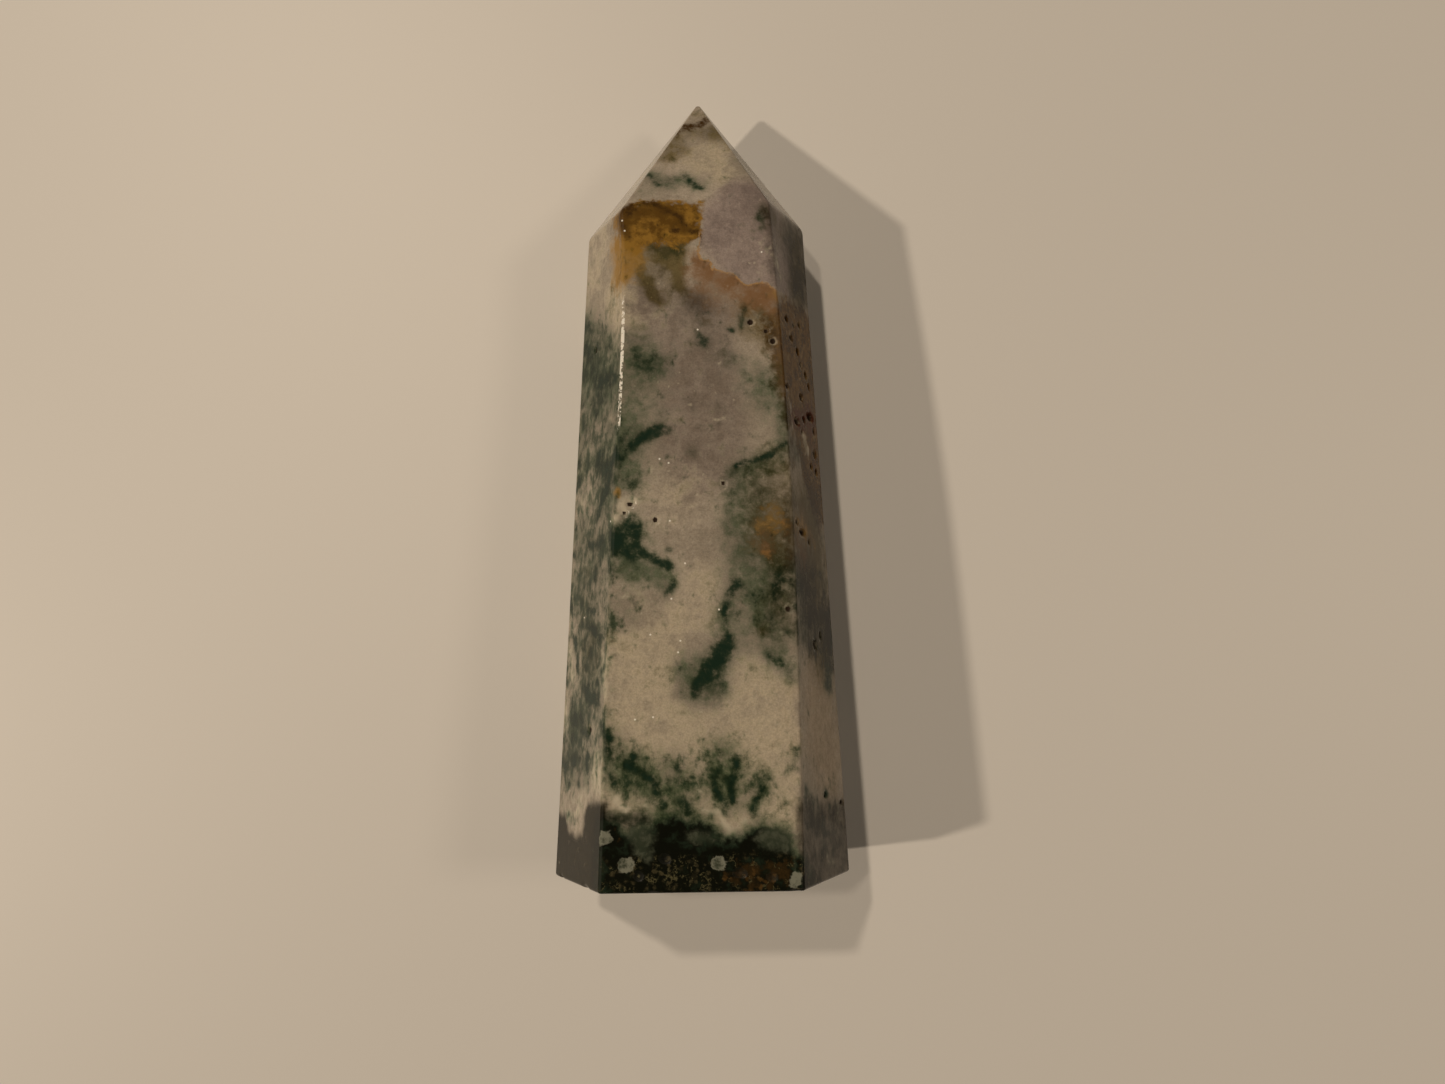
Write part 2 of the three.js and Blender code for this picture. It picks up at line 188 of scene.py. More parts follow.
# Soft markings. A stroke is (facet, half width, strength, [(along, across), ...]), a line or a dot on a
# facet. On the faces of the point, across is measured from the axis.
STROKES = {
    # dark green moss, feathery
    "moss": [
        ("pointTop", 0.4, 0.6, [(104.8, -7.2), (103.4, -6.4), (102.7, -5.6)]),
        ("pointTop", 0.4, 0.75, [(104.4, -1.6), (103.3, -0.8), (102.3, 0.0), (102.0, 0.9)]),
        ("pointTop", 0.8, 0.4, [(103.8, -3.6)]),
        ("top", 0.9, 0.55, [(77.2, 0.4)]),
        ("top", 0.6, 0.52, [(78.2, -0.4)]),
        ("top", 0.4, 0.77, [(79.3, 4.4)]),
        ("top", 0.45, 0.56, [(82.6, 6.3), (81.2, 5.8), (79.6, 6.0)]),
        ("top", 0.7, 0.36, [(77.6, -9.8), (76.2, -9.9)]),
        ("top", 0.7, 0.38, [(75.2, -8.8), (74.6, -6.8)]),
        ("top", 0.6, 0.42, [(74.0, -10.0), (73.2, -7.2)]),
        ("top", 0.6, 0.85, [(64.1, -6.8), (63.4, -8.2), (62.7, -9.6)]),
        ("top", 0.4, 0.75, [(63.8, -7.6), (64.2, -6.2), (64.2, -4.6)]),
        ("top", 0.5, 0.42, [(61.6, -11.6), (61.4, -10.0)]),
        ("top", 0.7, 0.43, [(60.9, -1.6)]),
        ("top", 0.27, 0.9, [(58.9, 4.7), (59.6, 6.0), (60.0, 8.0), (60.6, 9.4)]),
        ("top", 0.3, 0.65, [(60.4, 9.0), (61.4, 10.6), (62.3, 12.2)]),
        ("top", 0.6, 0.35, [(59.6, 8.6)]),
        ("top", 0.6, 0.45, [(56.2, -10.6)]),
        ("top", 0.4, 0.4, [(57.8, 4.5), (55.0, 4.1), (52.4, 3.6)]),
        ("top", 1.05, 0.92, [(50.2, -10.2), (48.6, -12.0)]),
        ("top", 0.6, 0.65, [(48.9, -12.9), (47.0, -13.0)]),
        ("top", 0.85, 0.75, [(47.2, -12.0), (46.2, -10.2)]),
        ("top", 0.6, 0.65, [(49.5, -9.6), (47.0, -9.3)]),
        ("top", 0.5, 0.8, [(46.9, -9.0), (46.0, -7.6), (45.1, -5.8), (44.6, -4.4)]),
        ("top", 0.5, 0.5, [(46.6, -6.8)]),
        ("top", 0.45, 0.6, [(47.0, -4.8)]),
        ("top", 0.5, 0.52, [(44.3, -13.0), (43.5, -12.6)]),
        ("top", 0.5, 0.7, [(42.2, -3.9), (41.2, -4.4), (40.6, -5.2)]),
        ("top", 0.5, 0.8, [(42.2, 4.6), (41.0, 4.0), (40.0, 3.5), (38.2, 3.1)]),
        ("top", 0.5, 0.6, [(41.8, 5.2)]),
        ("top", 0.45, 0.7, [(40.3, 6.2), (40.1, 7.6)]),
        ("top", 0.5, 0.5, [(38.0, 5.0)]),
        ("top", 0.6, 0.42, [(38.2, 3.1), (34.6, 3.7)]),
        ("top", 0.45, 0.9, [(34.4, 3.8), (33.0, 2.9)]),
        ("top", 1.0, 1.0, [(33.0, 2.9), (31.2, 1.9), (29.8, 0.9)]),
        ("top", 0.6, 0.95, [(29.8, 0.9), (28.2, -0.4)]),
        ("top", 0.5, 0.77, [(26.7, -0.8)]),
        ("top", 0.4, 0.6, [(27.8, -0.6)]),
        ("top", 0.8, 0.4, [(28.6, 2.4), (26.6, 2.0)]),
        ("top", 0.6, 0.61, [(43.2, 10.2), (42.8, 11.4)]),
        ("top", 0.6, 0.52, [(41.6, 10.4), (39.6, 10.4)]),
        ("top", 0.5, 0.58, [(38.8, 12.8)]),
        ("top", 0.4, 0.52, [(35.0, 11.7)]),
        ("top", 0.5, 0.32, [(37.6, 9.4)]),
        ("top", 0.6, 0.6, [(31.7, 9.5), (31.1, 10.7)]),
        ("top", 0.5, 0.45, [(30.4, 11.8), (28.4, 12.9)]),
        ("top", 0.5, 0.77, [(24.6, -13.6), (22.8, -13.9), (21.0, -13.1)]),
        ("top", 0.34, 0.61, [(21.0, -12.6)]),
        ("top", 0.47, 0.68, [(19.4, -13.2), (18.4, -12.8)]),
        ("top", 0.54, 0.76, [(18.1, -9.4), (17.2, -10.4), (16.6, -9.2)]),
        ("top", 0.44, 0.72, [(15.8, -12.6), (14.4, -12.0)]),
        ("top", 0.34, 0.46, [(12.8, -13.4)]),
        ("top", 0.41, 0.76, [(15.7, -8.0), (14.8, -6.6), (13.2, -6.2), (11.6, -5.5)]),
        ("top", 0.47, 0.72, [(16.7, -3.4)]),
        ("top", 0.24, 0.68, [(15.1, -1.8), (15.7, -0.2)]),
        ("top", 0.34, 0.46, [(18.6, 2.9), (17.8, 1.6)]),
        ("top", 0.27, 0.46, [(16.0, 2.4)]),
        ("top", 0.47, 0.76, [(15.0, 2.0), (13.4, 2.0), (12.0, 2.9), (10.6, 3.2)]),
        ("top", 0.34, 0.76, [(18.1, 5.0), (16.6, 4.5)]),
        ("top", 0.41, 0.76, [(15.2, 4.2), (13.2, 4.1), (12.2, 4.4)]),
        ("top", 0.47, 0.72, [(15.2, 8.5), (13.6, 8.0), (12.0, 7.2), (10.6, 6.7)]),
        ("top", 0.27, 0.53, [(14.9, 9.6)]),
        ("top", 0.34, 0.65, [(19.2, 13.0), (17.6, 12.9), (16.0, 12.2), (15.5, 11.6)]),
        ("top", 0.68, 0.68, [(12.2, -2.6), (10.9, -1.8)]),
        ("upperLeft", 0.9, 0.7, [(83.8, -6.4), (82.6, -5.2)]),
        ("upperLeft", 0.9, 0.75, [(79.4, -5.6), (78.4, -3.6)]),
        ("upperLeft", 0.5, 0.6, [(78.7, -0.6)]),
        ("upperLeft", 0.6, 0.6, [(77.6, 2.8)]),
        ("upperLeft", 0.9, 0.6, [(75.4, -2.0), (72.6, -1.0)]),
        ("upperLeft", 0.8, 0.8, [(72.8, 0.6), (72.2, 4.8)]),
        ("upperLeft", 0.7, 0.6, [(70.4, -1.4), (70.0, 2.0)]),
        ("upperLeft", 0.8, 0.6, [(75.6, -6.0)]),
        ("upperLeft", 0.8, 0.5, [(71.0, -5.5)]),
        ("upperLeft", 0.5, 0.6, [(68.2, -0.6)]),
        ("upperLeft", 0.7, 0.6, [(65.2, 3.9)]),
        ("upperLeft", 0.6, 0.6, [(66.8, -4.6)]),
        ("upperLeft", 0.5, 0.6, [(63.4, -6.4)]),
        ("upperLeft", 0.8, 0.85, [(61.8, 1.4), (60.2, 0.8), (59.2, 2.4)]),
        ("upperLeft", 0.7, 0.75, [(61.2, -5.6)]),
        ("upperLeft", 0.6, 0.7, [(58.8, -5.0), (57.4, -6.4)]),
        ("upperLeft", 0.9, 0.9, [(60.4, 6.0), (58.6, 4.6)]),
        ("upperLeft", 0.75, 0.9, [(57.6, 4.8), (55.2, 3.4), (52.6, 1.4)]),
        ("upperLeft", 0.5, 0.5, [(52.2, -3.0)]),
        ("upperLeft", 0.6, 0.6, [(51.8, -6.4)]),
        ("upperLeft", 0.6, 0.8, [(48.4, -0.6), (47.8, 1.2)]),
        ("upperLeft", 0.5, 0.8, [(48.2, 2.6), (49.0, 4.0)]),
        ("upperLeft", 0.6, 0.7, [(47.2, -6.0)]),
        ("upperLeft", 0.7, 0.6, [(43.6, 2.2)]),
        ("upperLeft", 0.45, 0.8, [(42.2, -1.4)]),
        ("upperLeft", 0.4, 0.6, [(45.4, 3.7)]),
        ("upperLeft", 0.6, 0.7, [(40.6, -6.8), (38.6, -5.4)]),
        ("upperLeft", 0.6, 0.8, [(38.9, 0.4), (38.4, 2.8)]),
        ("upperLeft", 0.45, 0.7, [(36.4, -2.6), (36.6, 0.0), (35.4, 3.0), (34.8, 6.0)]),
        ("upperLeft", 0.4, 0.5, [(35.2, -7.0), (35.4, -4.0)]),
        ("upperLeft", 0.5, 0.8, [(34.6, -4.2), (32.6, -3.4), (29.8, -2.8)]),
        ("upperLeft", 0.8, 0.8, [(30.2, -7.2), (28.4, -6.9)]),
        ("upperLeft", 0.7, 0.4, [(31.8, 3.8)]),
        ("upperLeft", 0.4, 0.6, [(29.8, 5.8), (30.6, 6.6)]),
        ("upperLeft", 0.8, 0.95, [(27.2, 1.2), (26.0, 2.6), (26.0, 4.6)]),
        ("upperLeft", 0.4, 0.8, [(28.4, 4.4)]),
        ("upperLeft", 0.5, 0.6, [(27.4, -0.4)]),
        ("upperLeft", 0.6, 0.75, [(25.2, -4.2)]),
        ("upperLeft", 0.6, 0.7, [(22.6, -3.4), (23.4, -1.6)]),
        ("upperLeft", 0.6, 0.75, [(21.4, 0.2), (21.0, 2.6)]),
        ("upperLeft", 0.4, 0.7, [(23.0, 0.2)]),
        ("upperLeft", 0.5, 0.7, [(20.2, -3.6)]),
        ("upperLeft", 0.6, 1.0, [(17.2, -2.8)]),
        ("upperLeft", 0.5, 0.7, [(17.6, -0.4)]),
        ("upperLeft", 0.5, 0.9, [(18.0, 2.0), (16.0, 2.6)]),
        ("upperLeft", 0.7, 0.8, [(16.4, -7.0), (15.6, -5.6)]),
        ("upperLeft", 0.6, 0.7, [(14.0, -0.6)]),
        ("upperLeft", 0.4, 0.7, [(13.8, -4.0)]),
        ("upperLeft", 0.4, 0.6, [(14.4, 2.8)]),
        ("upperLeft", 0.4, 0.6, [(9.4, -3.4)]),
        ("upperRight", 1.2, 0.55, [(42.6, -5.6)]),
        ("upperRight", 0.5, 0.6, [(38.0, 5.8), (37.4, 3.4)]),
        ("upperRight", 0.6, 0.7, [(35.4, 6.0), (33.4, 6.2)]),
        ("upperRight", 1.2, 0.95, [(29.4, 4.4), (27.8, 3.8)]),
        ("upperRight", 0.7, 0.7, [(13.0, -6.0)]),
        ("upperRight", 0.6, 0.9, [(12.2, 0.8)]),
        ("upperRight", 0.4, 0.7, [(10.0, 2.0)]),
        ("upperRight", 0.8, 0.5, [(8.6, -5.2)]),
        ("upperRight", 0.8, 0.5, [(6.8, 0.0)]),
        ("lowerRight", 0.9, 0.9, [(90.0, 1.0), (86.5, -1.5), (83.0, -1.0)]),
        ("lowerRight", 0.7, 0.8, [(46.0, 4.0), (42.5, 2.0), (41.0, -1.0)]),
        ("lowerRight", 1.2, 0.9, [(30.0, -4.0), (26.0, -2.5)]),
        ("lowerLeft", 1.0, 0.9, [(80.0, 3.0), (76.0, 1.0), (74.5, -2.0)]),
        ("lowerLeft", 0.7, 0.9, [(49.0, -5.0), (46.0, -2.0), (45.0, 2.0)]),
        ("lowerLeft", 1.1, 0.9, [(24.0, 4.0), (20.0, 5.0)]),
        ("bottom", 1.3, 1.0, [(78.0, -6.0), (73.0, -3.0), (71.0, 1.0)]),
        ("bottom", 1.0, 0.9, [(54.0, 8.0), (50.0, 5.0), (48.5, 0.5)]),
        ("bottom", 1.4, 1.0, [(33.0, -9.0), (28.0, -6.5), (25.0, -7.0)]),
        ("bottom", 0.8, 0.9, [(40.0, 10.0), (36.0, 9.0)]),
        ("bottom", 0.9, 0.9, [(17.0, 3.0), (13.0, 4.5), (11.0, 3.0)]),
    ],
    # where the moss breaks up into flecks
    "fleck": [
        ("top", 3.0, 0.25, [(17.0, -12.0), (14.5, -4.0), (15.0, 3.0), (14.0, 8.0)]),
        ("top", 1.8, 0.35, [(75.0, -8.5)]),
        ("top", 1.8, 0.45, [(62.2, -10.5)]),
        ("top", 1.4, 0.45, [(59.0, -12.0), (56.0, -11.0)]),
        ("top", 2.4, 0.35, [(47.5, -11.0)]),
        ("top", 2.6, 0.5, [(39.5, -9.0)]),
        ("top", 1.2, 0.55, [(36.3, -12.2)]),
        ("top", 3.0, 0.2, [(40.0, 9.5)]),
        ("top", 2.0, 0.25, [(36.0, 10.5)]),
        ("top", 2.2, 0.3, [(28.5, -1.5)]),
        ("top", 2.6, 0.5, [(19.0, -11.8), (15.5, -10.0)]),
        ("top", 2.4, 0.45, [(15.0, -5.0), (14.0, -3.0)]),
        ("top", 2.8, 0.45, [(17.5, 2.0), (14.0, 3.4)]),
        ("top", 1.6, 0.45, [(14.0, 7.6)]),
        ("top", 1.2, 0.45, [(17.5, 12.5)]),
        ("upperLeft", 5.0, 0.4, [(79.0, -2.0), (73.0, -1.0)]),
        ("upperLeft", 4.5, 0.4, [(62.0, 0.0), (57.0, 1.0)]),
        ("upperLeft", 4.5, 0.4, [(48.0, 0.0), (44.0, 0.0)]),
        ("upperLeft", 3.0, 0.45, [(40.0, -4.0), (37.0, 1.0)]),
        ("upperLeft", 3.0, 0.35, [(33.0, 2.0)]),
        ("upperLeft", 4.0, 0.65, [(25.5, 0.5), (18.0, -3.0)]),
        ("upperLeft", 3.0, 0.35, [(10.0, -3.0)]),
        ("upperRight", 3.0, 0.5, [(42.0, -5.0)]),
        ("upperRight", 4.0, 0.45, [(37.0, 1.0), (34.0, 3.0)]),
        ("upperRight", 4.5, 0.5, [(9.0, -1.0), (6.0, 1.0)]),
        ("upperRight", 2.0, 0.4, [(12.5, -5.6)]),
    ],
    # green-grey haze
    "haze": [
        ("top", 0.9, 1.0, [(7.3, -1.4), (7.2, 1.6)]),
        ("top", 0.9, 0.85, [(10.2, -12.5), (10.0, -8.5), (10.4, -5.0)]),
        ("upperLeft", 4.0, 0.4, [(80.0, -4.0), (70.0, 0.0)]),
        ("top", 0.9, 0.8, [(92.0, -6.6), (91.3, -4.6), (91.8, -2.8)]),
        ("top", 3.4, 0.6, [(73.0, -8.5), (60.0, -11.0)]),
        ("top", 2.4, 0.5, [(17.0, -12.0), (14.0, -4.0), (15.0, 3.0), (14.0, 8.0)]),
        ("pointTop", 1.5, 0.7, [(104.6, -6.8), (102.8, -4.0), (103.4, -1.0), (102.6, 0.2)]),
        ("pointTop", 1.2, 0.35, [(101.0, -7.5)]),
        ("pointTop", 0.9, 0.5, [(107.4, 6.0), (105.4, 7.4)]),
        ("top", 0.8, 0.7, [(96.4, 9.6)]),
        ("top", 0.6, 0.4, [(98.0, 9.6), (94.6, 9.4)]),
        ("top", 2.2, 0.7, [(76.0, -9.5), (73.5, -7.5)]),
        ("top", 2.6, 0.75, [(72.0, 8.5), (69.0, 9.2)]),
        ("top", 1.6, 0.4, [(74.8, 4.6)]),
        ("top", 0.9, 0.6, [(68.0, 11.4), (63.0, 11.8)]),
        ("top", 2.2, 0.7, [(63.5, -10.0), (60.0, -12.0)]),
        ("top", 1.8, 0.65, [(57.5, -11.0)]),
        ("top", 1.3, 0.65, [(59.2, 7.2)]),
        ("top", 1.3, 0.65, [(57.6, 4.8), (50.0, 3.8)]),
        ("top", 3.4, 0.7, [(57.0, 8.5), (47.0, 8.5)]),
        ("top", 2.0, 0.5, [(47.0, 5.5)]),
        ("top", 3.4, 0.8, [(48.2, -11.2)]),
        ("top", 2.0, 0.8, [(44.6, -10.0), (43.4, -6.0)]),
        ("top", 1.4, 0.6, [(41.5, -5.0)]),
        ("top", 2.2, 0.45, [(38.5, -10.2)]),
        ("top", 1.5, 0.65, [(41.4, 4.8), (37.0, 3.2)]),
        ("top", 3.6, 0.8, [(44.0, 8.0), (38.0, 8.6), (35.0, 9.4)]),
        ("top", 2.3, 0.75, [(30.5, -1.8), (27.5, -1.2)]),
        ("top", 1.9, 0.6, [(34.0, 3.4), (29.0, 0.6)]),
        ("top", 1.8, 0.75, [(27.4, 2.0)]),
        ("top", 1.5, 0.55, [(31.2, 10.6), (29.0, 12.6)]),
        ("top", 1.8, 0.65, [(21.0, -13.0), (15.5, -12.0)]),
        ("top", 1.7, 0.75, [(17.5, -9.5), (13.0, -6.4)]),
        ("top", 1.8, 0.75, [(17.0, -4.0), (14.0, -3.0), (11.0, -2.5)]),
        ("top", 2.1, 0.8, [(19.0, 2.6), (12.0, 3.4)]),
        ("top", 1.1, 0.55, [(15.0, 8.2), (11.0, 7.0)]),
        ("top", 1.0, 0.5, [(18.0, 12.7)]),
        ("top", 1.5, 0.4, [(13.5, -9.5)]),
        ("upperLeft", 3.0, 0.75, [(82.5, -5.5), (78.0, -3.0)]),
        ("upperLeft", 3.6, 0.85, [(75.0, -3.0), (71.5, 1.5)]),
        ("upperLeft", 2.0, 0.6, [(72.0, 5.0)]),
        ("upperLeft", 2.2, 0.55, [(79.0, 2.0)]),
        ("upperLeft", 2.4, 0.6, [(66.0, -4.5)]),
        ("upperLeft", 2.2, 0.7, [(60.5, 1.5), (55.0, 4.4)]),
        ("upperLeft", 2.0, 0.6, [(59.5, -5.5)]),
        ("upperLeft", 2.5, 0.5, [(50.0, -5.0)]),
        ("upperLeft", 2.4, 0.55, [(48.0, 1.0)]),
        ("upperLeft", 2.0, 0.45, [(44.0, 2.5)]),
        ("upperLeft", 3.0, 0.6, [(41.5, -4.0), (37.0, 2.0)]),
        ("upperLeft", 3.0, 0.6, [(32.0, 1.5)]),
        ("upperLeft", 2.5, 0.7, [(26.0, 3.0), (23.0, -2.5)]),
        ("upperLeft", 3.0, 0.6, [(18.5, -3.5), (16.5, 1.0)]),
        ("upperLeft", 1.6, 0.5, [(16.0, -7.0)]),
        ("upperRight", 1.8, 0.75, [(61.8, -6.0), (61.0, -2.0)]),
        ("upperRight", 1.6, 0.45, [(66.0, -6.4)]),
        ("upperRight", 3.0, 0.8, [(42.5, -6.0)]),
        ("upperRight", 3.4, 0.7, [(36.0, -4.0), (35.0, 4.0)]),
        ("upperRight", 2.0, 0.5, [(43.0, 5.0)]),
        ("upperRight", 2.0, 0.5, [(33.0, 5.5)]),
        ("upperRight", 2.6, 0.45, [(11.0, -4.0), (6.0, 0.0), (8.0, 4.0)]),
        ("bottom", 5.0, 0.7, [(76.0, -5.0), (68.0, -2.0)]),
        ("bottom", 5.0, 0.6, [(50.0, 5.0), (36.0, 9.0)]),
        ("lowerRight", 5.0, 0.6, [(46.0, 2.0), (30.0, -3.0)]),
        ("lowerLeft", 5.0, 0.6, [(78.0, 0.0), (46.0, -2.0)]),
    ],
    # olive and brown smoke
    "smoke": [
        ("pointTop", 1.6, 0.55, [(113.5, -3.2), (111.4, -3.4), (109.4, -3.2)]),
        ("pointTop", 1.3, 0.45, [(113.8, 0.2), (112.6, 2.6)]),
        ("pointTop", 1.3, 0.35, [(110.2, -1.5)]),
        ("pointTop", 1.2, 0.45, [(108.2, -4.6)]),
        ("pointTop", 1.3, 0.35, [(118.0, 0.4)]),
        ("pointRight", 1.6, 0.65, [(114.0, 3.6), (108.0, 8.0)]),
        ("top", 1.0, 0.98, [(92.0, -6.8), (91.3, -5.4), (91.5, -3.6), (92.2, -2.4)]),
        ("top", 1.1, 0.75, [(90.6, -5.0), (90.6, -3.2)]),
        ("top", 0.8, 0.85, [(91.0, -9.0), (88.6, -8.8), (86.4, -8.0), (84.8, -7.0), (84.0, -5.9)]),
        ("top", 0.5, 0.6, [(84.8, -7.2)]),
        ("top", 0.8, 0.85, [(90.2, -4.4), (88.6, -3.2), (86.8, -3.2), (85.3, -2.7)]),
        ("top", 2.6, 0.5, [(88.0, -6.0)]),
        ("top", 1.6, 0.5, [(82.6, 6.4), (79.6, 6.6)]),
        ("top", 1.6, 0.45, [(81.0, 8.8), (77.0, 9.2)]),
        ("top", 0.8, 0.4, [(81.5, 9.6), (77.5, 10.2)]),
        ("top", 2.0, 0.2, [(76.0, -1.0)]),
        ("top", 3.4, 0.5, [(57.0, 9.5), (50.0, 10.5)]),
        ("top", 2.5, 0.4, [(48.6, 10.5)]),
        ("top", 1.8, 0.5, [(45.0, 10.4), (42.0, 11.2), (39.0, 10.6)]),
        ("top", 2.5, 0.3, [(36.0, 12.0)]),
        ("top", 0.8, 0.7, [(35.3, 8.3)]),
        ("upperLeft", 3.4, 0.5, [(33.0, 1.5)]),
        ("upperLeft", 4.0, 0.35, [(41.0, 0.0)]),
        ("upperLeft", 4.0, 0.3, [(79.0, -2.0)]),
        ("upperRight", 2.4, 0.95, [(95.5, 2.6), (90.0, 2.6), (86.8, 2.0)]),
        ("upperRight", 2.0, 0.6, [(97.0, -5.0), (96.0, -3.0)]),
        ("upperRight", 1.0, 0.35, [(88.0, 0.4)]),
        ("upperRight", 4.0, 0.9, [(54.0, 0.0), (47.0, 1.0)]),
        ("upperRight", 4.0, 0.8, [(42.0, 2.0), (32.0, 2.0)]),
    ],
    # brown-grey shade
    "dusk": [
        ("top", 2.4, 0.25, [(56.0, 8.0), (50.0, 11.0)]),
        ("top", 2.2, 0.5, [(83.8, -0.5)]),
        ("top", 1.8, 0.4, [(88.0, -5.8)]),
        ("top", 3.0, 0.25, [(80.5, 1.0), (76.0, 2.0)]),
        ("pointTop", 2.0, 0.3, [(101.5, 9.5)]),
        ("pointTop", 1.5, 0.25, [(103.0, 5.0)]),
        ("top", 1.5, 0.25, [(98.5, 8.4)]),
        ("top", 1.2, 0.3, [(97.0, 11.0), (88.0, 11.5)]),
        ("top", 1.5, 0.25, [(88.6, 5.4)]),
        ("top", 1.1, 0.55, [(9.9, -13.0), (9.9, -8.0)]),
        ("top", 1.2, 0.3, [(71.8, 1.5)]),
        ("top", 1.0, 0.3, [(69.0, -2.0), (67.4, -1.6)]),
        ("top", 0.8, 0.3, [(68.2, 2.4), (65.0, 2.2)]),
        ("top", 0.6, 0.35, [(57.1, 3.0)]),
        ("upperRight", 2.4, 0.5, [(38.0, 6.0), (31.0, 6.4)]),
        ("upperRight", 3.4, 0.5, [(44.0, -3.0), (36.0, 0.0)]),
    ],
    # dark brown veins and specks
    "umber": [
        ("pointTop", 0.5, 0.7, [(111.8, -4.6), (113.6, -3.0), (114.9, -1.4)]),
        ("pointTop", 0.8, 0.9, [(115.0, -1.0), (115.1, 0.4), (115.8, 1.8)]),
        ("pointTop", 0.5, 0.5, [(116.6, 2.2)]),
        ("top", 0.8, 0.9, [(98.4, -11.2), (98.8, -8.6), (98.9, -6.0)]),
        ("top", 0.5, 0.7, [(98.6, -5.4), (97.8, -4.4)]),
        ("top", 0.7, 0.65, [(97.6, -8.5), (97.2, -6.0), (97.3, -4.0)]),
        ("top", 0.4, 0.95, [
            (97.6, -4.4), (97.2, -3.0), (96.3, -2.2), (95.4, -1.8), (94.6, -1.2), (94.3, -0.2)]),
        ("top", 0.5, 0.8, [(95.6, -3.0), (94.8, -3.4), (94.5, -2.0)]),
        ("top", 0.8, 0.8, [(97.2, -11.0), (95.0, -10.6), (94.0, -10.3)]),
        ("top", 0.8, 0.5, [(96.8, -9.8)]),
        ("top", 0.28, 0.9, [(95.2, -5.6)]),
        ("top", 0.25, 0.8, [(95.3, -7.6)]),
        ("top", 0.28, 0.9, [(93.8, -4.8)]),
        ("top", 0.3, 0.6, [(98.2, -1.8)]),
        ("top", 0.35, 0.7, [(96.6, 0.0)]),
        ("top", 0.35, 0.8, [(94.4, 0.3), (92.6, 0.6)]),
        ("top", 0.3, 0.6, [(86.6, 5.2)]),
        ("upperRight", 0.6, 0.45, [(66.0, -3.6), (66.4, -1.0), (67.2, 1.0), (68.2, 4.0)]),
        ("upperRight", 0.5, 0.7, [(67.0, 1.0), (65.0, 1.6), (62.6, 3.6)]),
        ("upperRight", 0.6, 0.6, [(50.6, -4.8), (49.6, -2.4), (48.6, 0.8)]),
        ("upperRight", 0.5, 0.5, [(72.6, 3.4), (70.6, 0.4), (69.0, -0.6)]),
        ("top", 0.5, 0.7, [(81.0, 9.0), (79.4, 9.6), (78.4, 9.4)]),
        ("upperRight", 0.5, 0.6, [(81.0, -2.0), (81.4, 0.4)]),
        ("upperRight", 0.4, 0.6, [(60.2, 2.6), (62.0, 4.4)]),
    ],
    # ochre stain
    "ochre": [
        ("top", 2.2, 0.95, [(93.0, -11.2), (90.4, -11.6), (88.6, -12.0)]),
        ("top", 1.8, 0.75, [(91.5, -10.0), (89.6, -9.8)]),
        ("top", 0.7, 0.3, [(80.6, 9.2), (78.6, 9.6)]),
        ("top", 1.4, 0.7, [(93.4, -9.8)]),
        ("top", 0.8, 0.8, [(93.6, -8.4), (93.2, -3.0)]),
        ("top", 0.9, 0.6, [(98.4, -1.0), (96.4, -0.6)]),
        ("top", 0.8, 0.6, [(91.6, -9.0)]),
        ("upperLeft", 1.8, 0.5, [(96.0, 4.6), (91.0, 4.2), (88.4, 5.0)]),
        ("upperLeft", 1.4, 0.4, [(92.0, 2.0)]),
        ("upperLeft", 1.2, 0.4, [(87.0, 5.4)]),
        ("top", 0.6, 0.9, [(55.4, -12.3)]),
        ("top", 0.4, 0.9, [(54.6, -11.9)]),
        ("top", 1.2, 0.6, [(52.6, 9.8), (50.4, 10.4)]),
        ("top", 0.7, 0.4, [(50.6, 8.4), (49.2, 7.6)]),
        ("upperRight", 1.0, 0.6, [(84.4, -6.0)]),
        ("upperRight", 1.4, 0.65, [(50.4, -4.5), (49.6, -2.0)]),
        ("upperRight", 1.4, 0.4, [(48.2, 1.0)]),
    ],
    # orange grains
    "orange": [
        ("top", 0.7, 0.8, [(46.4, 8.8)]),
        ("top", 0.4, 0.7, [(51.0, 11.2), (49.8, 10.8)]),
        ("top", 0.35, 0.6, [(52.6, 9.6)]),
        ("top", 0.6, 1.0, [(3.6, 8.5)]),
        ("top", 0.45, 0.7, [(2.0, 8.7)]),
    ],
    # peach glow under the rim of the nodule
    "peach": [
        ("top", 1.8, 0.3, [(51.8, 9.4), (49.2, 8.8)]),
        ("top", 1.4, 0.4, [(47.2, 8.0)]),
        ("upperRight", 2.6, 0.5, [(50.0, -3.0), (47.0, -4.0)]),
        ("top", 1.4, 0.95, [
            (89.4, 0.6), (88.0, 1.6), (86.8, 3.4), (86.4, 5.0), (85.6, 7.4), (85.4, 9.6)]),
        ("top", 0.8, 0.9, [(84.6, 10.0), (82.6, 10.3)]),
        ("top", 2.6, 0.45, [(84.6, 3.4), (83.8, 5.4)]),
        ("top", 2.0, 0.45, [(87.0, 0.6)]),
        ("top", 1.5, 0.35, [(84.6, 7.4)]),
    ],
    # where the edge of the nodule is bright
    "rim": [
        ("top", 0.9, 1.0, [
            (93.6, 0.3), (91.4, 0.2), (89.4, 1.6), (87.9, 3.6), (86.3, 6.4), (86.2, 9.6),
            (84.6, 10.8)]),
    ],
    # where the nodule is lilac
    "lilac": [
        ("top", 5.2, 1.0, [(95.0, 5.0), (90.0, 8.0)]),
        ("top", 3.0, 0.9, [(97.0, 10.0), (89.0, 11.0)]),
        ("pointTop", 2.8, 0.8, [(101.0, 7.0)]),
        ("upperRight", 4.0, 0.9, [(93.0, -4.0), (89.0, -4.0)]),
    ],
    # lighter clouds and grains
    "pale": [
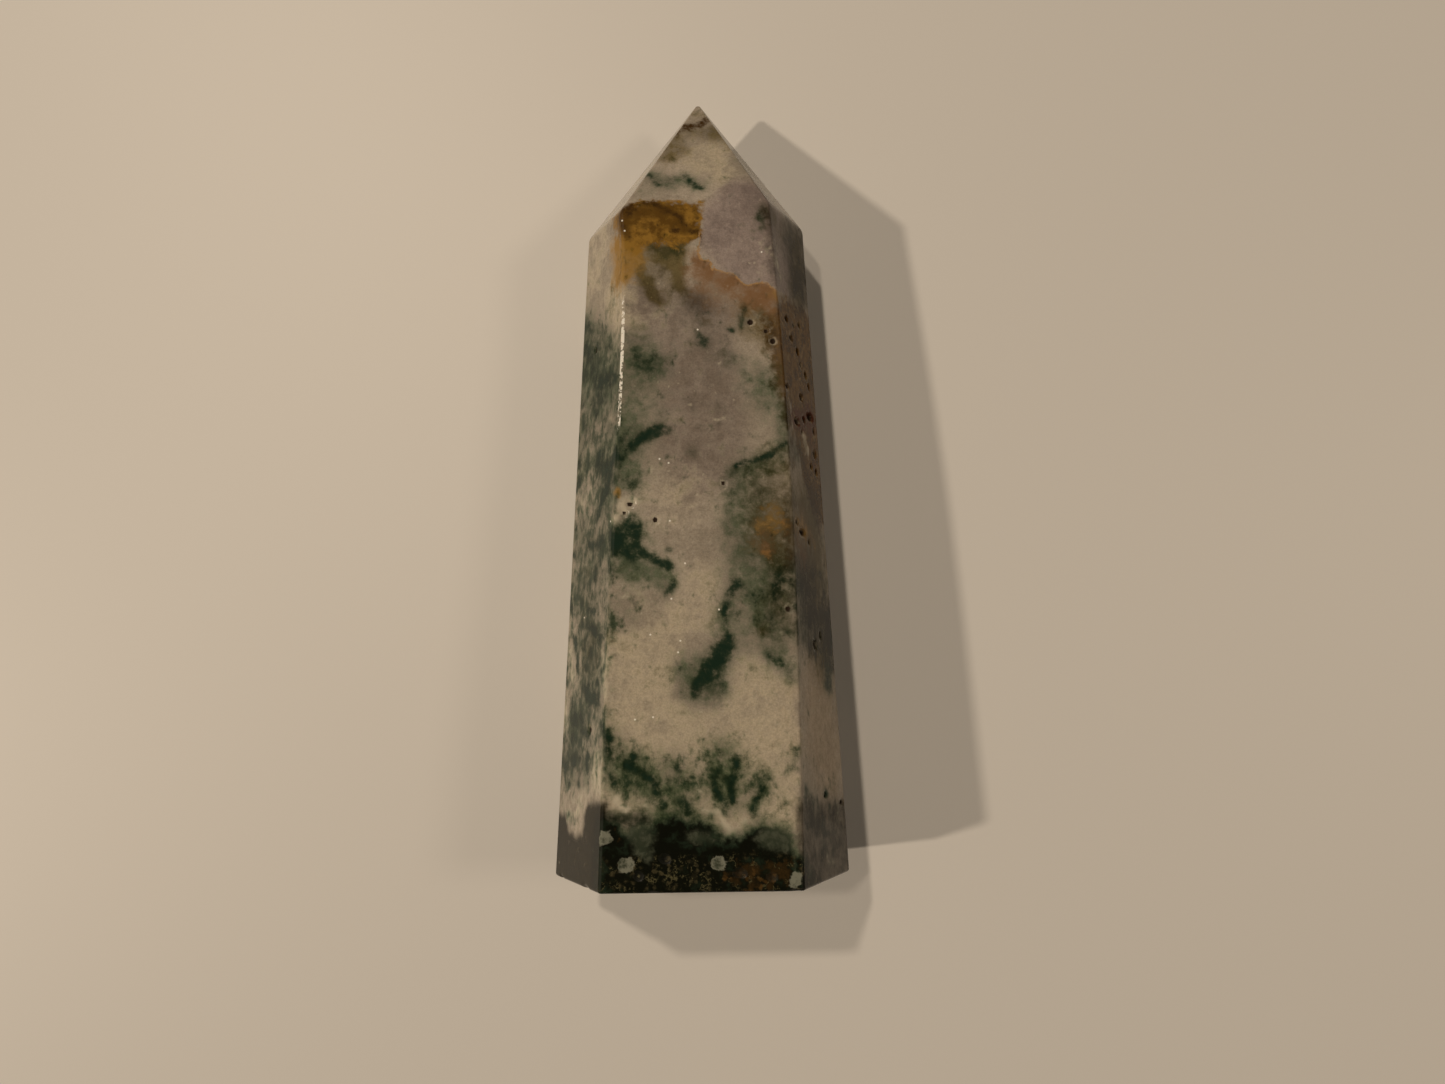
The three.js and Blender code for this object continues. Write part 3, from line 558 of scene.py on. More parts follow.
        ("top", 0.35, 0.8, [(93.6, -2.8), (93.5, -1.4)]),
        ("top", 0.4, 0.6, [(92.4, 9.2)]),
        ("top", 0.9, 0.6, [(80.4, 7.2)]),
        ("top", 0.3, 0.8, [(71.2, 1.6)]),
        ("top", 0.3, 0.5, [(67.9, -1.9)]),
        ("top", 0.35, 0.7, [(65.8, 2.9), (65.6, 1.5)]),
        ("top", 0.4, 0.6, [(66.0, 9.8)]),
        ("top", 0.7, 0.65, [(58.4, -7.8)]),
        ("top", 0.3, 0.6, [(57.0, 2.9)]),
        ("top", 1.0, 0.95, [(51.6, -12.6), (53.4, -11.4), (54.2, -10.0)]),
        ("top", 0.6, 0.5, [(51.6, -6.9)]),
        ("top", 0.5, 0.6, [(41.0, 11.7), (41.6, 12.0)]),
        ("top", 0.35, 0.6, [(37.2, 6.2), (36.4, 6.6)]),
        ("top", 0.3, 0.6, [(34.9, 11.2)]),
        ("top", 0.4, 0.5, [(40.2, -11.4), (40.8, -8.6)]),
        ("top", 0.7, 0.95, [(12.3, -11.6), (11.4, -10.4)]),
        ("top", 0.5, 0.6, [(11.8, -8.0), (11.6, -7.0)]),
        ("top", 0.45, 0.95, [(11.0, 0.4), (10.3, 2.2)]),
        ("top", 0.5, 0.95, [(9.6, 2.8), (8.6, 3.6), (7.9, 3.6)]),
        ("top", 0.4, 0.95, [(9.4, 5.8), (8.5, 5.2), (7.9, 4.4)]),
        ("top", 0.5, 0.5, [(14.4, -1.0), (13.0, 0.0)]),
        ("top", 0.5, 0.5, [(15.2, -11.0)]),
        ("top", 0.5, 0.6, [(8.4, 12.8), (5.4, 12.9)]),
        ("upperLeft", 1.9, 1.0, [(17.6, 6.0), (14.4, 5.8)]),
        ("upperLeft", 0.8, 0.85, [(9.2, -4.0), (9.4, -1.6), (10.6, 0.0)]),
        ("upperLeft", 1.0, 0.6, [(12.0, 1.4), (11.6, -3.0)]),
        ("upperLeft", 1.5, 0.75, [(32.0, 6.5), (27.0, 6.8)]),
        ("upperLeft", 1.2, 0.85, [(32.6, -6.0), (29.4, -4.6)]),
        ("upperLeft", 1.4, 0.85, [(24.6, -7.0), (21.8, -6.6)]),
        ("upperLeft", 0.6, 0.7, [(66.6, 4.2)]),
        ("upperLeft", 0.6, 0.5, [(67.4, -2.8)]),
        ("upperLeft", 1.6, 0.5, [(56.0, -1.0), (54.0, -4.0)]),
        ("upperLeft", 1.2, 0.5, [(46.0, 0.5)]),
        ("upperLeft", 0.4, 0.8, [(79.9, -4.6)]),
        ("upperLeft", 1.2, 0.4, [(62.5, -1.5), (64.0, -3.0)]),
        ("upperRight", 2.0, 0.35, [(92.0, -6.0), (88.0, -5.0)]),
        ("upperRight", 0.9, 0.75, [(64.2, 0.3), (62.4, 1.2)]),
        ("upperRight", 1.0, 0.5, [(3.2, 0.2)]),
        ("upperRight", 0.8, 0.5, [(2.4, 2.0)]),
        ("upperRight", 1.0, 0.4, [(9.0, 4.6)]),
    ],
    # cream zones
    "cream": [
        ("pointTop", 2.6, 0.9, [(110.5, 2.2), (107.0, 3.0), (105.0, 4.5)]),
        ("pointTop", 1.6, 0.8, [(108.5, -0.5), (106.8, 0.5), (105.5, 3.5)]),
        ("pointLeft", 2.0, 0.8, [(108.0, -7.6), (102.0, -12.0)]),
        ("upperLeft", 4.5, 0.6, [(96.0, -3.0), (88.0, -2.0)]),
        ("upperLeft", 2.5, 0.8, [(86.0, 4.0), (82.0, 5.0)]),
        ("top", 2.0, 0.3, [(88.0, -11.4), (83.0, -11.4)]),
        ("top", 2.4, 0.2, [(81.0, -8.0), (80.4, -5.0)]),
        ("top", 4.0, 0.5, [(55.0, -4.5)]),
        ("top", 4.0, 0.7, [(38.0, -2.0), (36.0, -5.0)]),
        ("top", 2.4, 0.6, [(43.5, 0.0)]),
        ("top", 1.8, 0.45, [(39.6, -9.0)]),
        ("upperLeft", 2.2, 0.6, [(26.0, -6.6)]),
        ("bottom", 6.0, 0.9, [(62.0, -3.0), (42.0, -2.0)]),
        ("lowerRight", 5.0, 0.8, [(20.0, 2.0), (12.0, 0.0)]),
        ("lowerLeft", 5.0, 0.8, [(66.0, 0.0), (56.0, 2.0)]),
    ],
    # beige zones
    "beige": [
        ("upperRight", 6.0, 1.0, [(26.0, 0.0), (19.0, 1.0)]),
        ("upperRight", 3.0, 0.4, [(12.0, 2.0)]),
    ],
    # rusty grains, in the brown matrix and in the dark base
    "rust": [
        ("top", 2.2, 0.9, [(2.2, 6.2), (2.4, 11.0)]),
        ("top", 1.1, 0.5, [(7.8, -11.6)]),
        ("top", 1.0, 0.5, [(2.0, 3.4)]),
        ("upperRight", 1.5, 1.4, [(66.2, -3.4), (66.6, 0.0), (67.8, 3.6)]),
        ("upperRight", 2.0, 0.6, [(68.0, 3.0), (61.0, 3.6)]),
        ("upperRight", 1.2, 0.6, [(72.8, 3.6)]),
    ],
}
# Soft patches: (facet, softness, strength, outline)
PATCHES = {
    "fleck": [
        ("upperLeft", 2.5, 0.42, [
            (86.0, -12.0), (82.0, -2.0), (76.0, 8.0), (15.0, 9.0), (14.0, -12.0)]),
    ],
    "haze": [
        ("upperLeft", 2.5, 0.22, [
            (86.0, -12.0), (82.0, -2.0), (76.0, 8.0), (15.0, 9.0), (14.0, -12.0)]),
    ],
    "cream": [
        ("top", 1.3, 1.0, [
            (35.0, -13.6), (36.2, -8.0), (35.6, -4.0), (33.6, -3.4), (30.5, -4.4), (26.6, -4.0),
            (24.4, -1.0), (24.6, 2.6), (28.0, 4.2), (31.6, 4.6), (31.8, 7.4), (29.4, 9.8), (28.4, 13.0),
            (8.0, 13.6), (7.6, 8.0), (10.0, -6.0), (11.0, -14.0), (24.0, -14.8)]),
    ],
    "mauve": [
        ("top", 4.0, 1.0, [
            (78.0, -12.5), (87.0, -12.5), (86.0, -5.0), (85.0, 3.0), (82.0, 5.4), (72.0, 5.4),
            (66.0, 7.0), (61.0, 6.0), (56.0, 3.0), (53.0, -3.0), (62.0, -7.0), (72.0, -6.0),
            (77.0, -6.6)]),
    ],
    "dusk": [
        ("upperLeft", 1.2, 1.0, [
            (12.2, 8.6), (11.8, 3.0), (9.6, 1.8), (7.2, 1.4), (6.6, -1.0), (7.2, -3.4), (9.2, -4.4),
            (9.4, -9.0), (-2.0, -9.4), (-2.0, 9.0)]),
        ("upperRight", 2.4, 0.65, [(12.6, -9.6), (11.0, 9.6), (-2.0, 9.6), (-2.0, -9.6)]),
        ("upperRight", 2.4, 0.35, [(56.0, -9.6), (56.0, 9.6), (32.0, 9.6), (31.0, -9.6)]),
        ("lowerRight", 2.4, 0.5, [(9.0, -9.6), (12.6, 9.6), (-2.0, 9.6), (-2.0, -9.6)]),
        ("lowerRight", 2.4, 0.5, [(56.0, 9.6), (50.0, -3.0), (38.0, 0.0), (32.0, 9.6)]),
        ("lowerLeft", 1.2, 0.95, [
            (9.4, -9.6), (8.0, -2.0), (10.0, 3.0), (5.0, 9.6), (-2.0, 9.6), (-2.0, -9.6)]),
        ("upperRight", 2.6, 0.62, [(100.0, -1.0), (100.0, 9.0), (85.0, 9.0), (85.5, -1.0)]),
        ("upperRight", 2.0, 0.2, [(100.0, -9.0), (100.0, 0.0), (85.0, 0.0), (85.0, -9.0)]),
    ],
}
# How far patches reach into the stone
PATCH_REACH = 0.7

# Sharp-edged markings: (facet, reach into the stone, outline)
OUTLINES = {
    "iron": [
        ("top", 5.0, [
            (98.0, -12.6), (98.8, -9.0), (99.6, -6.0), (99.3, -3.4), (99.2, 0.6), (97.4, 1.0),
            (95.4, 0.7), (93.6, 0.8), (92.7, -0.4), (92.4, -2.0), (92.1, -3.6), (92.3, -5.0),
            (91.8, -5.8), (92.3, -7.0), (91.7, -8.0), (91.0, -9.0), (91.8, -10.4), (92.8, -12.0)]),
    ],
    "nodule": [
        ("top", 12.0, [
            (99.5, 1.1), (96.0, 1.0), (94.0, 0.5), (93.0, 0.3), (92.0, 0.3), (91.2, 0.2), (90.3, 0.5),
            (89.7, 1.3), (89.2, 2.0), (88.5, 2.4), (88.1, 3.1), (87.8, 4.0), (87.8, 4.9), (87.2, 5.6),
            (86.4, 6.2), (86.1, 7.0), (86.3, 8.0), (86.3, 9.2), (86.2, 10.3), (85.3, 10.9),
            (85.2, 13.0), (85.2, 22.0), (112.0, 22.0), (112.0, 14.0)]),
    ],
    "matrix": [
        ("upperRight", 3.0, [
            (85.6, -3.0), (85.4, 2.0), (84.8, 6.0), (83.0, 8.6), (50.0, 9.0), (51.0, 4.0), (55.0, 0.0),
            (59.0, -2.6), (62.0, -3.6), (66.0, -4.6), (69.0, -5.4), (71.0, -6.4), (74.0, -6.7),
            (80.0, -6.8), (82.0, -6.6), (84.0, -5.6)]),
        ("top", 2.0, [
            (84.3, 10.6), (82.6, 10.2), (79.7, 9.2), (76.8, 9.7), (75.0, 10.0), (71.0, 10.5),
            (69.7, 10.9), (67.0, 11.4), (65.0, 12.0), (61.0, 12.5), (56.0, 13.8), (56.0, 17.0),
            (85.0, 17.0)]),
        ("lowerRight", 3.0, [
            (82.0, 9.0), (80.0, 2.0), (74.0, -1.0), (66.0, 0.0), (60.0, 3.0), (57.0, 9.0)]),
    ],
    "dark": [
        ("top", 1.6, [
            (-2.0, -14.2), (9.6, -14.0), (9.4, -12.0), (8.8, -10.8), (7.9, -10.0), (9.0, -8.0),
            (9.0, -6.0), (9.8, -5.0), (10.2, -3.6), (9.8, -2.0), (9.4, -0.8), (9.6, 0.2), (9.0, 1.2),
            (8.2, 1.8), (7.4, 2.2), (7.0, 3.4), (7.1, 4.6), (7.4, 6.0), (8.6, 7.0), (9.2, 8.0),
            (8.8, 9.4), (8.2, 11.0), (7.0, 12.2), (5.0, 12.8), (3.2, 13.2), (2.0, 14.4), (-2.0, 14.6)]),
        ("upperRight", 1.4, [
            (-2.0, -9.6), (5.0, -9.6), (4.6, -7.4), (2.8, -6.4), (1.6, -5.2), (-2.0, -4.8)]),
        ("base", 1.0, [
            (12.0, -13.0), (6.0, -12.0), (3.0, -8.0), (5.0, -3.0), (1.0, 1.0), (3.0, 6.0), (7.0, 9.0),
            (12.0, 13.0), (15.0, 14.0), (15.0, -14.0)]),
        ("bottom", 2.0, [
            (-2.0, -10.0), (5.0, -9.0), (7.0, -4.0), (4.0, 1.0), (5.0, 5.0), (2.0, 9.0), (-2.0, 10.0)]),
    ],
    "lump": [
        ("top", 3.0, [
            (8.6, -9.8), (8.9, -7.4), (8.0, -5.8), (6.4, -6.5), (4.3, -6.7), (4.2, -8.0), (5.4, -9.4),
            (7.4, -10.0)]),
        ("top", 3.0, [
            (8.9, 8.4), (8.8, 10.0), (8.0, 11.8), (6.4, 12.6), (5.2, 12.2), (5.2, 9.8), (5.7, 7.8),
            (7.0, 7.2)]),
        ("top", 3.0, [(8.0, -1.9), (8.2, 0.2), (7.8, 1.5), (6.6, 2.1), (6.1, 0.2), (6.5, -1.9)]),
        ("base", 1.0, [(-2.0, -5.0), (1.0, -9.0), (-4.0, -12.0), (-7.0, -6.0)]),
        ("base", 1.0, [(8.0, 4.0), (10.0, 8.0), (6.0, 9.0), (5.0, 5.0)]),
    ],
    "crystal": [
        ("top", 2.0, [(5.0, 1.7), (4.9, 3.0), (4.1, 3.7), (3.0, 3.2), (3.1, 1.3), (4.3, 1.3)]),
        ("top", 2.0, [(4.7, -10.8), (4.8, -9.4), (3.8, -9.0), (2.7, -9.6), (2.9, -11.0), (4.0, -11.4)]),
        ("top", 2.0, [
            (8.4, -13.8), (8.3, -12.6), (7.3, -12.0), (6.6, -12.8), (6.3, -13.8), (7.4, -14.0)]),
        ("top", 2.0, [(2.8, 12.6), (2.4, 13.7), (1.2, 13.6), (0.4, 12.9), (0.9, 12.0), (2.1, 12.0)]),
        ("base", 1.0, [(10.0, -6.0), (11.4, -4.4), (10.0, -3.2), (8.6, -4.4)]),
        ("base", 1.0, [(4.0, 4.4), (5.2, 5.8), (3.8, 6.8), (2.8, 5.4)]),
    ],
}
# Painted glints: bright white spots painted on grains where they would catch the light: (facet, along,
# across)
PAINTED_GLINT_SPOTS = [
    ("top", 96.2, -10.9),
    ("top", 94.6, -10.6),
    ("top", 91.1, 9.4),
    ("top", 79.3, -0.5),
    ("top", 60.1, -6.2),
    ("top", 59.5, -4.9),
    ("top", 51.1, -4.7),
    ("top", 45.0, -2.5),
    ("top", 40.0, -4.4),
    ("top", 38.4, 2.3),
    ("top", 35.0, -7.3),
    ("top", 34.1, -3.1),
    ("top", 32.5, -3.4),
    ("top", 23.6, -6.8),
    ("top", 23.3, -9.3),
    ("upperLeft", 51.2, 6.2),
    ("upperLeft", 37.8, -1.2),
]

# How much wider than drawn these kinds spread under the surface
SPREAD = {"moss": 1.35, "smoke": 1.2, "peach": 1.3, "haze": 1.1}
# How far strokes and patches wander, and over what size
WANDER = 0.45
WANDER_SIZE = 2.4
FINE_WANDER = 0.5
FINE_WANDER_SIZE = WANDER_SIZE / 2.7
OUTLINE_WANDER = 0.25
# Keeps the wander the same each time
NOISE_SEED = 2
# Depths in an outline are kept within this
FARTHEST = 6.0
# The veins and grains of the dark base fade out above this
LOW_END = 3.5
LOW_FADE = 3.0
# Underneath, where the moss is scattered, it follows a broad noise alone
UNDERNEATH_FADE = 6
SCATTER_SIZE = 9
SCATTER_MEAN = 0.35
SCATTER_SWING = 0.9
SCATTER_MOST = 0.7
SCATTER_HAZE = 0.8
SEEDS = {"wander": 1, "fine wander": 2, "pits": 3, "scatter": 4, "bruise_and_painted_highlight": 9}


def apothem(facet, along):
    """Distance of a facet from the axis, at a place along it."""
    broad = facet in BROAD_FACETS
    at_base = (BROAD_BASE if broad else NARROW_BASE) / 2
    at_shoulder = (BROAD_SHOULDER if broad else NARROW_SHOULDER) / 2
    return at_base + (at_shoulder - at_base) * along / SHOULDER


def facet_turn(facet):
    """The angle of a facet's outward direction in the section plane."""
    return math.radians(30 + 60 * facet)


def out_of(facet):
    """A facet's outward direction, without its taper."""
    return np.array([math.cos(facet_turn(facet)), 0, math.sin(facet_turn(facet))])


def bow(k, along):
    """How far the edge at corner k has bowed at each place along it."""
    by, at = EDGE_BOWS[CORNERS[k]]
    share = np.clip(np.asarray(along) / EDGE_ENDS[CORNERS[k]], 0, 1)
    return by * np.sin(math.pi * share ** (math.log(0.5) / math.log(at)))


def corner(k, along, inset=0):
    """The sharp corner between facets k - 1 and k, at each place along the axis, drawn in by inset."""
    before = (k + 5) % 6
    a, b = out_of(before), out_of(k)
    da, db = apothem(before, along) - inset, apothem(k, along) - inset
    det = a[0] * b[2] - a[2] * b[0]
    x = (da * b[2] - db * a[2]) / det + bow(k, along)
    z = (a[0] * db - b[0] * da) / det
    return np.stack(np.broadcast_arrays(x, along, z), axis=-1).astype(float)


def section(place_of, inset=0):
    """A whole section, with round corners, at the place that place_of gives for each long edge."""
    arcs = []
    for k, name in enumerate(CORNERS):
        radius = SIDE_EDGE_RADIUS if name in ("right", "left") else BROAD_EDGE_RADIUS
        centre = corner(k, place_of(EDGE_ENDS[name]), inset + radius)
        turns = [facet_turn(k - 1) + math.radians(60) * i / ARC_STEPS for i in range(ARC_STEPS + 1)]
        arcs.append([centre + radius * np.array([math.cos(t), 0, math.sin(t)]) for t in turns])
    points = []
    for k, name in enumerate(FACETS):
        points += arcs[k]
        start, end = arcs[k][-1], arcs[(k + 1) % 6][0]
        margin = EDGE_MARGIN / np.linalg.norm(end - start)
        shares = np.linspace(margin, 1 - margin, FACET_STEPS[name] - 1)
        points += [start + (end - start) * share for share in shares]
    return np.array(points)


def on_long_edge():
    """Which points of a section lie on its rounded corners, by the corner's name, or None."""
    names = []
    for corner_name, facet_name in zip(CORNERS, FACETS):
        names += [corner_name] * (ARC_STEPS + 1) + [None] * (FACET_STEPS[facet_name] - 1)
    return names


def ring_places():
    """The places of the rings between the base's rim and the shoulder."""
    places = []
    along = BASE_BEVEL
    for reach, spacing in RING_SPACINGS:
        count = max(1, round((reach - along) / spacing))
        places += [along + (reach - along) * (i + 1) / count for i in range(count)]
        along = reach
    return places


def all_rings():
    """The rings of the stone, from the middle of its base, over its shoulder, to the worn tip."""
    rim = section(lambda end: 0, BASE_BEVEL)
    middle = rim.mean(axis=0)
    rings = [middle + (rim - middle) * (i + 1) / BASE_RINGS for i in range(BASE_RINGS)]
    for i in range(1, ROUNDING_STEPS + 1):
        turn = math.pi / 2 * i / ROUNDING_STEPS
        along = BASE_BEVEL * (1 - math.cos(turn))
        rings.append(section(lambda end: along, BASE_BEVEL * (1 - math.sin(turn))))
    for place in ring_places():
        share = place / SHOULDER
        rings.append(section(lambda end: end * share))
    shoulder = section(lambda end: end)
    below = section(lambda end: end - SHOULDER_ROUNDING)
    reach = np.linalg.norm(POINT - shoulder, axis=1)[:, None]
    above = shoulder + (POINT - shoulder) * SHOULDER_ROUNDING / reach
    for i in range(ROUNDING_STEPS + 1):
        t = i / ROUNDING_STEPS
        rings.append((1 - t) ** 2 * below + 2 * t * (1 - t) * shoulder + t**2 * above)
    last_share = (1 - WORN_TIP_RADIUS / np.hypot(shoulder[:, 0], shoulder[:, 2]))[:, None]
    first_share = SHOULDER_ROUNDING / reach
    count = round((LENGTH - SHOULDER) / POINT_RING_SPACING)
    for i in range(1, count + 1):
        share = first_share + (last_share - first_share) * i / count
        rings.append(shoulder + (POINT - shoulder) * share)
    return rings


def on_facet(name, along, across):
    """A place on a facet, across its middle, or on a face of the point or the base, across the axis."""
    if name == "base":
        return np.array([across, 0, along])
    if name in POINT_FACETS:
        facet = POINT_FACETS[name]
        a = corner(facet, EDGE_ENDS[CORNERS[facet]])
        b = corner(facet + 1, EDGE_ENDS[CORNERS[facet + 1]])
        normal = np.cross(b - a, POINT - a)
        z = a[2] - (normal[0] * (across - a[0]) + normal[1] * (along - a[1])) / normal[2]
        return np.array([across, along, z])
    facet = FACETS[name]
    right_edge, left_edge = corner(facet, along), corner((facet + 1) % 6, along)
    share = 0.5 - across / np.linalg.norm(right_edge - left_edge)
    return right_edge + (left_edge - right_edge) * share


def facet_places(points, name):
    """Where points are on a facet, as (along, across), and how far out of its plane."""
    if name == "base":
        return points[:, [2, 0]], -points[:, 1]
    facet = FACETS[name]
    along = points[:, 1]
    right_edge, left_edge = corner(facet, along), corner((facet + 1) % 6, along)
    sideways = (right_edge - left_edge) / np.linalg.norm(right_edge - left_edge, axis=1)[:, None]
    offset = points - (right_edge + left_edge) / 2
    return np.stack([along, (offset * sideways).sum(axis=1)], axis=1), offset @ out_of(facet)


def noise_at(points, size, seed):
    """Three smooth random numbers, about -1 to 1, at each point, which change over size millimetres."""
    shift = Vector((17.3 * seed, 5.1 * seed, 29.7 * seed))
    return np.array([noise.noise_vector(Vector(p) / size + shift) for p in points])


def sink_pits(points, normals):
    """Pushes the pits in. Returns how near a pit each point is: over 0 in it, -1 or less outside."""
    inside = np.full(len(points), -1.0)
    sunk = np.zeros(len(points))
    ragged = noise_at(points, PIT_RAGGED_SIZE, SEEDS["pits"])[:, 0]
    for name, along, across, size_across, size_along, depth in PITS:
        centre = on_facet(name, along, across)
        out = out_of(FACETS[name])
        sideways = np.cross([0, 1, 0], out)
        offset = points - centre
        radius = np.hypot(offset @ sideways / (size_across / 2), offset[:, 1] / (size_along / 2))
        near = (np.abs(offset @ out) < depth + PIT_MARGIN) & (radius < PIT_REACH)
        fall = np.clip(PIT_FULLNESS - radius**2 * (1 + PIT_RAGGEDNESS * ragged), 0, 1)
        inside = np.where(near, np.maximum(inside, PIT_FULLNESS - radius**2), inside)
        sunk = np.where(near, np.maximum(sunk, depth * fall), sunk)
    points -= normals * sunk[:, None]
    return inside


def chip_rim(points):
    """Takes small chips off the rim of the base, in place."""
    random = np.random.default_rng(CHIP_SEED)
    for facet in range(6):
        count = CHIPS_ON_BROAD_SIDE if facet in BROAD_FACETS else CHIPS_ON_NARROW_SIDE
        start, end = corner(facet, 0), corner((facet + 1) % 6, 0)
        direction = (end - start) / np.linalg.norm(end - start)
        inwards = np.array([0, 1, 0]) - out_of(facet)
        for i in range(count):
            centre = start + (end - start) * (i + random.uniform(*CHIP_STRETCH)) / count
            half_width = random.uniform(*CHIP_HALF_WIDTHS)
            depth = random.uniform(*CHIP_DEPTHS)
            offset = points - centre
            lengthwise = offset @ direction / half_width
            away = np.linalg.norm(offset - np.outer(offset @ direction, direction), axis=1)
            fall = np.clip(1 - lengthwise**2 - (away / (CHIP_BREADTH * depth)) ** 2, 0, 1)
            points += inwards * (depth * fall)[:, None] / math.sqrt(2)


def bruise_edge(points, on_edge):
    """Bruises the front left edge, in place. Returns how bruised each point is, from 0 to 1, which is also
    where the highlight is painted.
    """
    along = points[:, 1]
    bruised = np.array([name == "upperLeft" for name in on_edge])
    bruised &= (along > BRUISE_ALONG[0]) & (along < BRUISE_ALONG[1])
    rough = np.clip(noise_at(points, BRUISE_GRAIN, SEEDS["bruise_and_painted_highlight"])[:, 0], 0, 1)
    points[bruised] -= out_of(FACETS["upperLeft"]) * (BRUISE_DEPTH * rough[bruised])[:, None]
    middle, half_length = np.mean(BRUISE_ALONG), np.ptp(BRUISE_ALONG) / 2
    return bruised * (1 - ((along - middle) / half_length) ** 2)


def distance_to_line(points, line):
    """How far each point is from a line of places, or from a single place."""
    best = np.full(len(points), np.inf)
    for a, b in zip(line, line[1:] or line):
        along = b - a
        share = np.clip((points - a) @ along / max(along @ along, 1e-9), 0, 1)
        best = np.minimum(best, np.linalg.norm(points - a - share[:, None] * along, axis=1))
    return best


def depth_in_outline(places, outline):
    """How far inside a flat outline each place is: negative outside."""
    inside = np.zeros(len(places), bool)
    best = np.full(len(places), np.inf)
    for a, b in zip(outline, outline[1:] + outline[:1]):
        a, b = np.array(a), np.array(b)
        along = b - a
        share = np.clip((places - a) @ along / (along @ along), 0, 1)
        best = np.minimum(best, np.linalg.norm(places - a - share[:, None] * along, axis=1))
        spans = (a[1] > places[:, 1]) != (b[1] > places[:, 1])
        rise = (places[:, 1] - a[1]) / (along[1] if along[1] else 1e-9)
        inside ^= spans & (places[:, 0] < a[0] + rise * along[0])
    return np.where(inside, best, -best)


def soft_marking(points, kind):
    """The strength of a kind of soft marking at each point: 0 where there is none."""
    clear = np.ones(len(points))
    for facet, half_width, strength, line in STROKES.get(kind, []):
        places = [on_facet(facet, along, across) for along, across in line]
        share = distance_to_line(points, places) / (half_width * SPREAD.get(kind, 1))
        clear *= 1 - strength * 0.5 ** (share**2)
    for facet, softness, strength, outline in PATCHES.get(kind, []):
        places, offset = facet_places(points, facet)
        share = np.clip(0.5 + depth_in_outline(places, outline) / (2 * softness), 0, 1)
        fade = 1 / (1 + (offset / PATCH_REACH) ** 4)
        clear *= 1 - strength * fade * share**2 * (3 - 2 * share)
    return 1 - clear


def sharp_marking(points, kind):
    """How far inside the outlines of a kind each point is, in millimetres: negative outside."""
    depth = np.full(len(points), -FARTHEST)
    for facet, reach, outline in OUTLINES[kind]:
        places, offset = facet_places(points, facet)
        depth = np.maximum(depth, np.minimum(depth_in_outline(places, outline), reach - np.abs(offset)))
    return np.clip(depth, -FARTHEST, FARTHEST)


def lay_down(points):
    """From the stone's own frame in millimetres to the part's frame in metres."""
    base = next(m for m in frame["record"]["mounts"] if m["name"] == "base_face")["pos_m"]
    tilt = math.atan((BROAD_BASE - BROAD_SHOULDER) / 2 / SHOULDER)
    turn = np.array(Matrix.Rotation(-tilt, 3, "X"))
    return points @ turn.T / 1000 + np.array(base)


def build_stone():
    """The tower's mesh, with its markings as attributes of its points."""
    rings = all_rings()
    around = len(rings[0])
    tip = rings[-1].mean(axis=0) + [0, WORN_TIP_RISE, 0]
    points = np.concatenate([*rings, [rings[0].mean(axis=0), tip]])
    base_index, tip_index = len(points) - 2, len(points) - 1
    last = (len(rings) - 1) * around
    faces = []
    for i in range(around):
        after = (i + 1) % around
        faces.append((base_index, i, after))
        faces.append((tip_index, last + after, last + i))
        faces += [(r + i, r + around + i, r + around + after, r + after) for r in range(0, last, around)]
    mesh = bpy.data.meshes.new("tower_stone")
    mesh.from_pydata(points.tolist(), [], faces)
    mesh.polygons.foreach_set("use_smooth", [True] * len(mesh.polygons))
    normals = np.empty(len(points) * 3, np.float32)
    mesh.vertices.foreach_get("normal", normals)

    noise.seed_set(NOISE_SEED)
    wander = noise_at(points, WANDER_SIZE, SEEDS["wander"])
    wander += FINE_WANDER * noise_at(points, FINE_WANDER_SIZE, SEEDS["fine wander"])
    fields = {kind: soft_marking(points + WANDER * wander, kind) for kind in {**STROKES, **PATCHES}}
    fields |= {kind: sharp_marking(points + OUTLINE_WANDER * wander, kind) for kind in OUTLINES}
    underneath = np.clip(0.5 - points[:, 2] / UNDERNEATH_FADE, 0, 1)
    clouds = noise_at(points, SCATTER_SIZE, SEEDS["scatter"])[:, 0]
    scatter = np.clip(SCATTER_MEAN + SCATTER_SWING * clouds, 0, SCATTER_MOST) * underneath
    fields["fleck"] = np.maximum(fields["fleck"], scatter)
    fields["haze"] = np.maximum(fields["haze"], SCATTER_HAZE * scatter)

    worn = points.copy()
    fields["pit"] = sink_pits(worn, normals.reshape(-1, 3))
    on_edge = [None] * around * BASE_RINGS + on_long_edge() * (len(rings) - BASE_RINGS) + [None, None]
    fields["bruise_and_painted_highlight"] = bruise_edge(worn, on_edge)
    fields["dull"] = np.array([name is not None for name in on_edge]) * (1 - fields["bruise_and_painted_highlight"])
    # 1 on the side facets and 0 on the top one
    fields["side"] = np.clip(4 * np.abs(normals.reshape(-1, 3)[:, 0]) - 1, 0, 1)
    fields["low"] = np.clip((LOW_END + LOW_FADE - points[:, 1]) / LOW_FADE, 0, 1)
    chip_rim(worn)
    mesh.vertices.foreach_set("co", np.clip(lay_down(worn), *np.array(cad_box)).ravel())
    for name, values in fields.items():
        mesh.attributes.new(name, "FLOAT", "POINT").data.foreach_set("value", values.astype(np.float32))
    mesh.update()
    stone = bpy.data.objects.new("tower_stone", mesh)
    bpy.context.collection.objects.link(stone)
    return stone


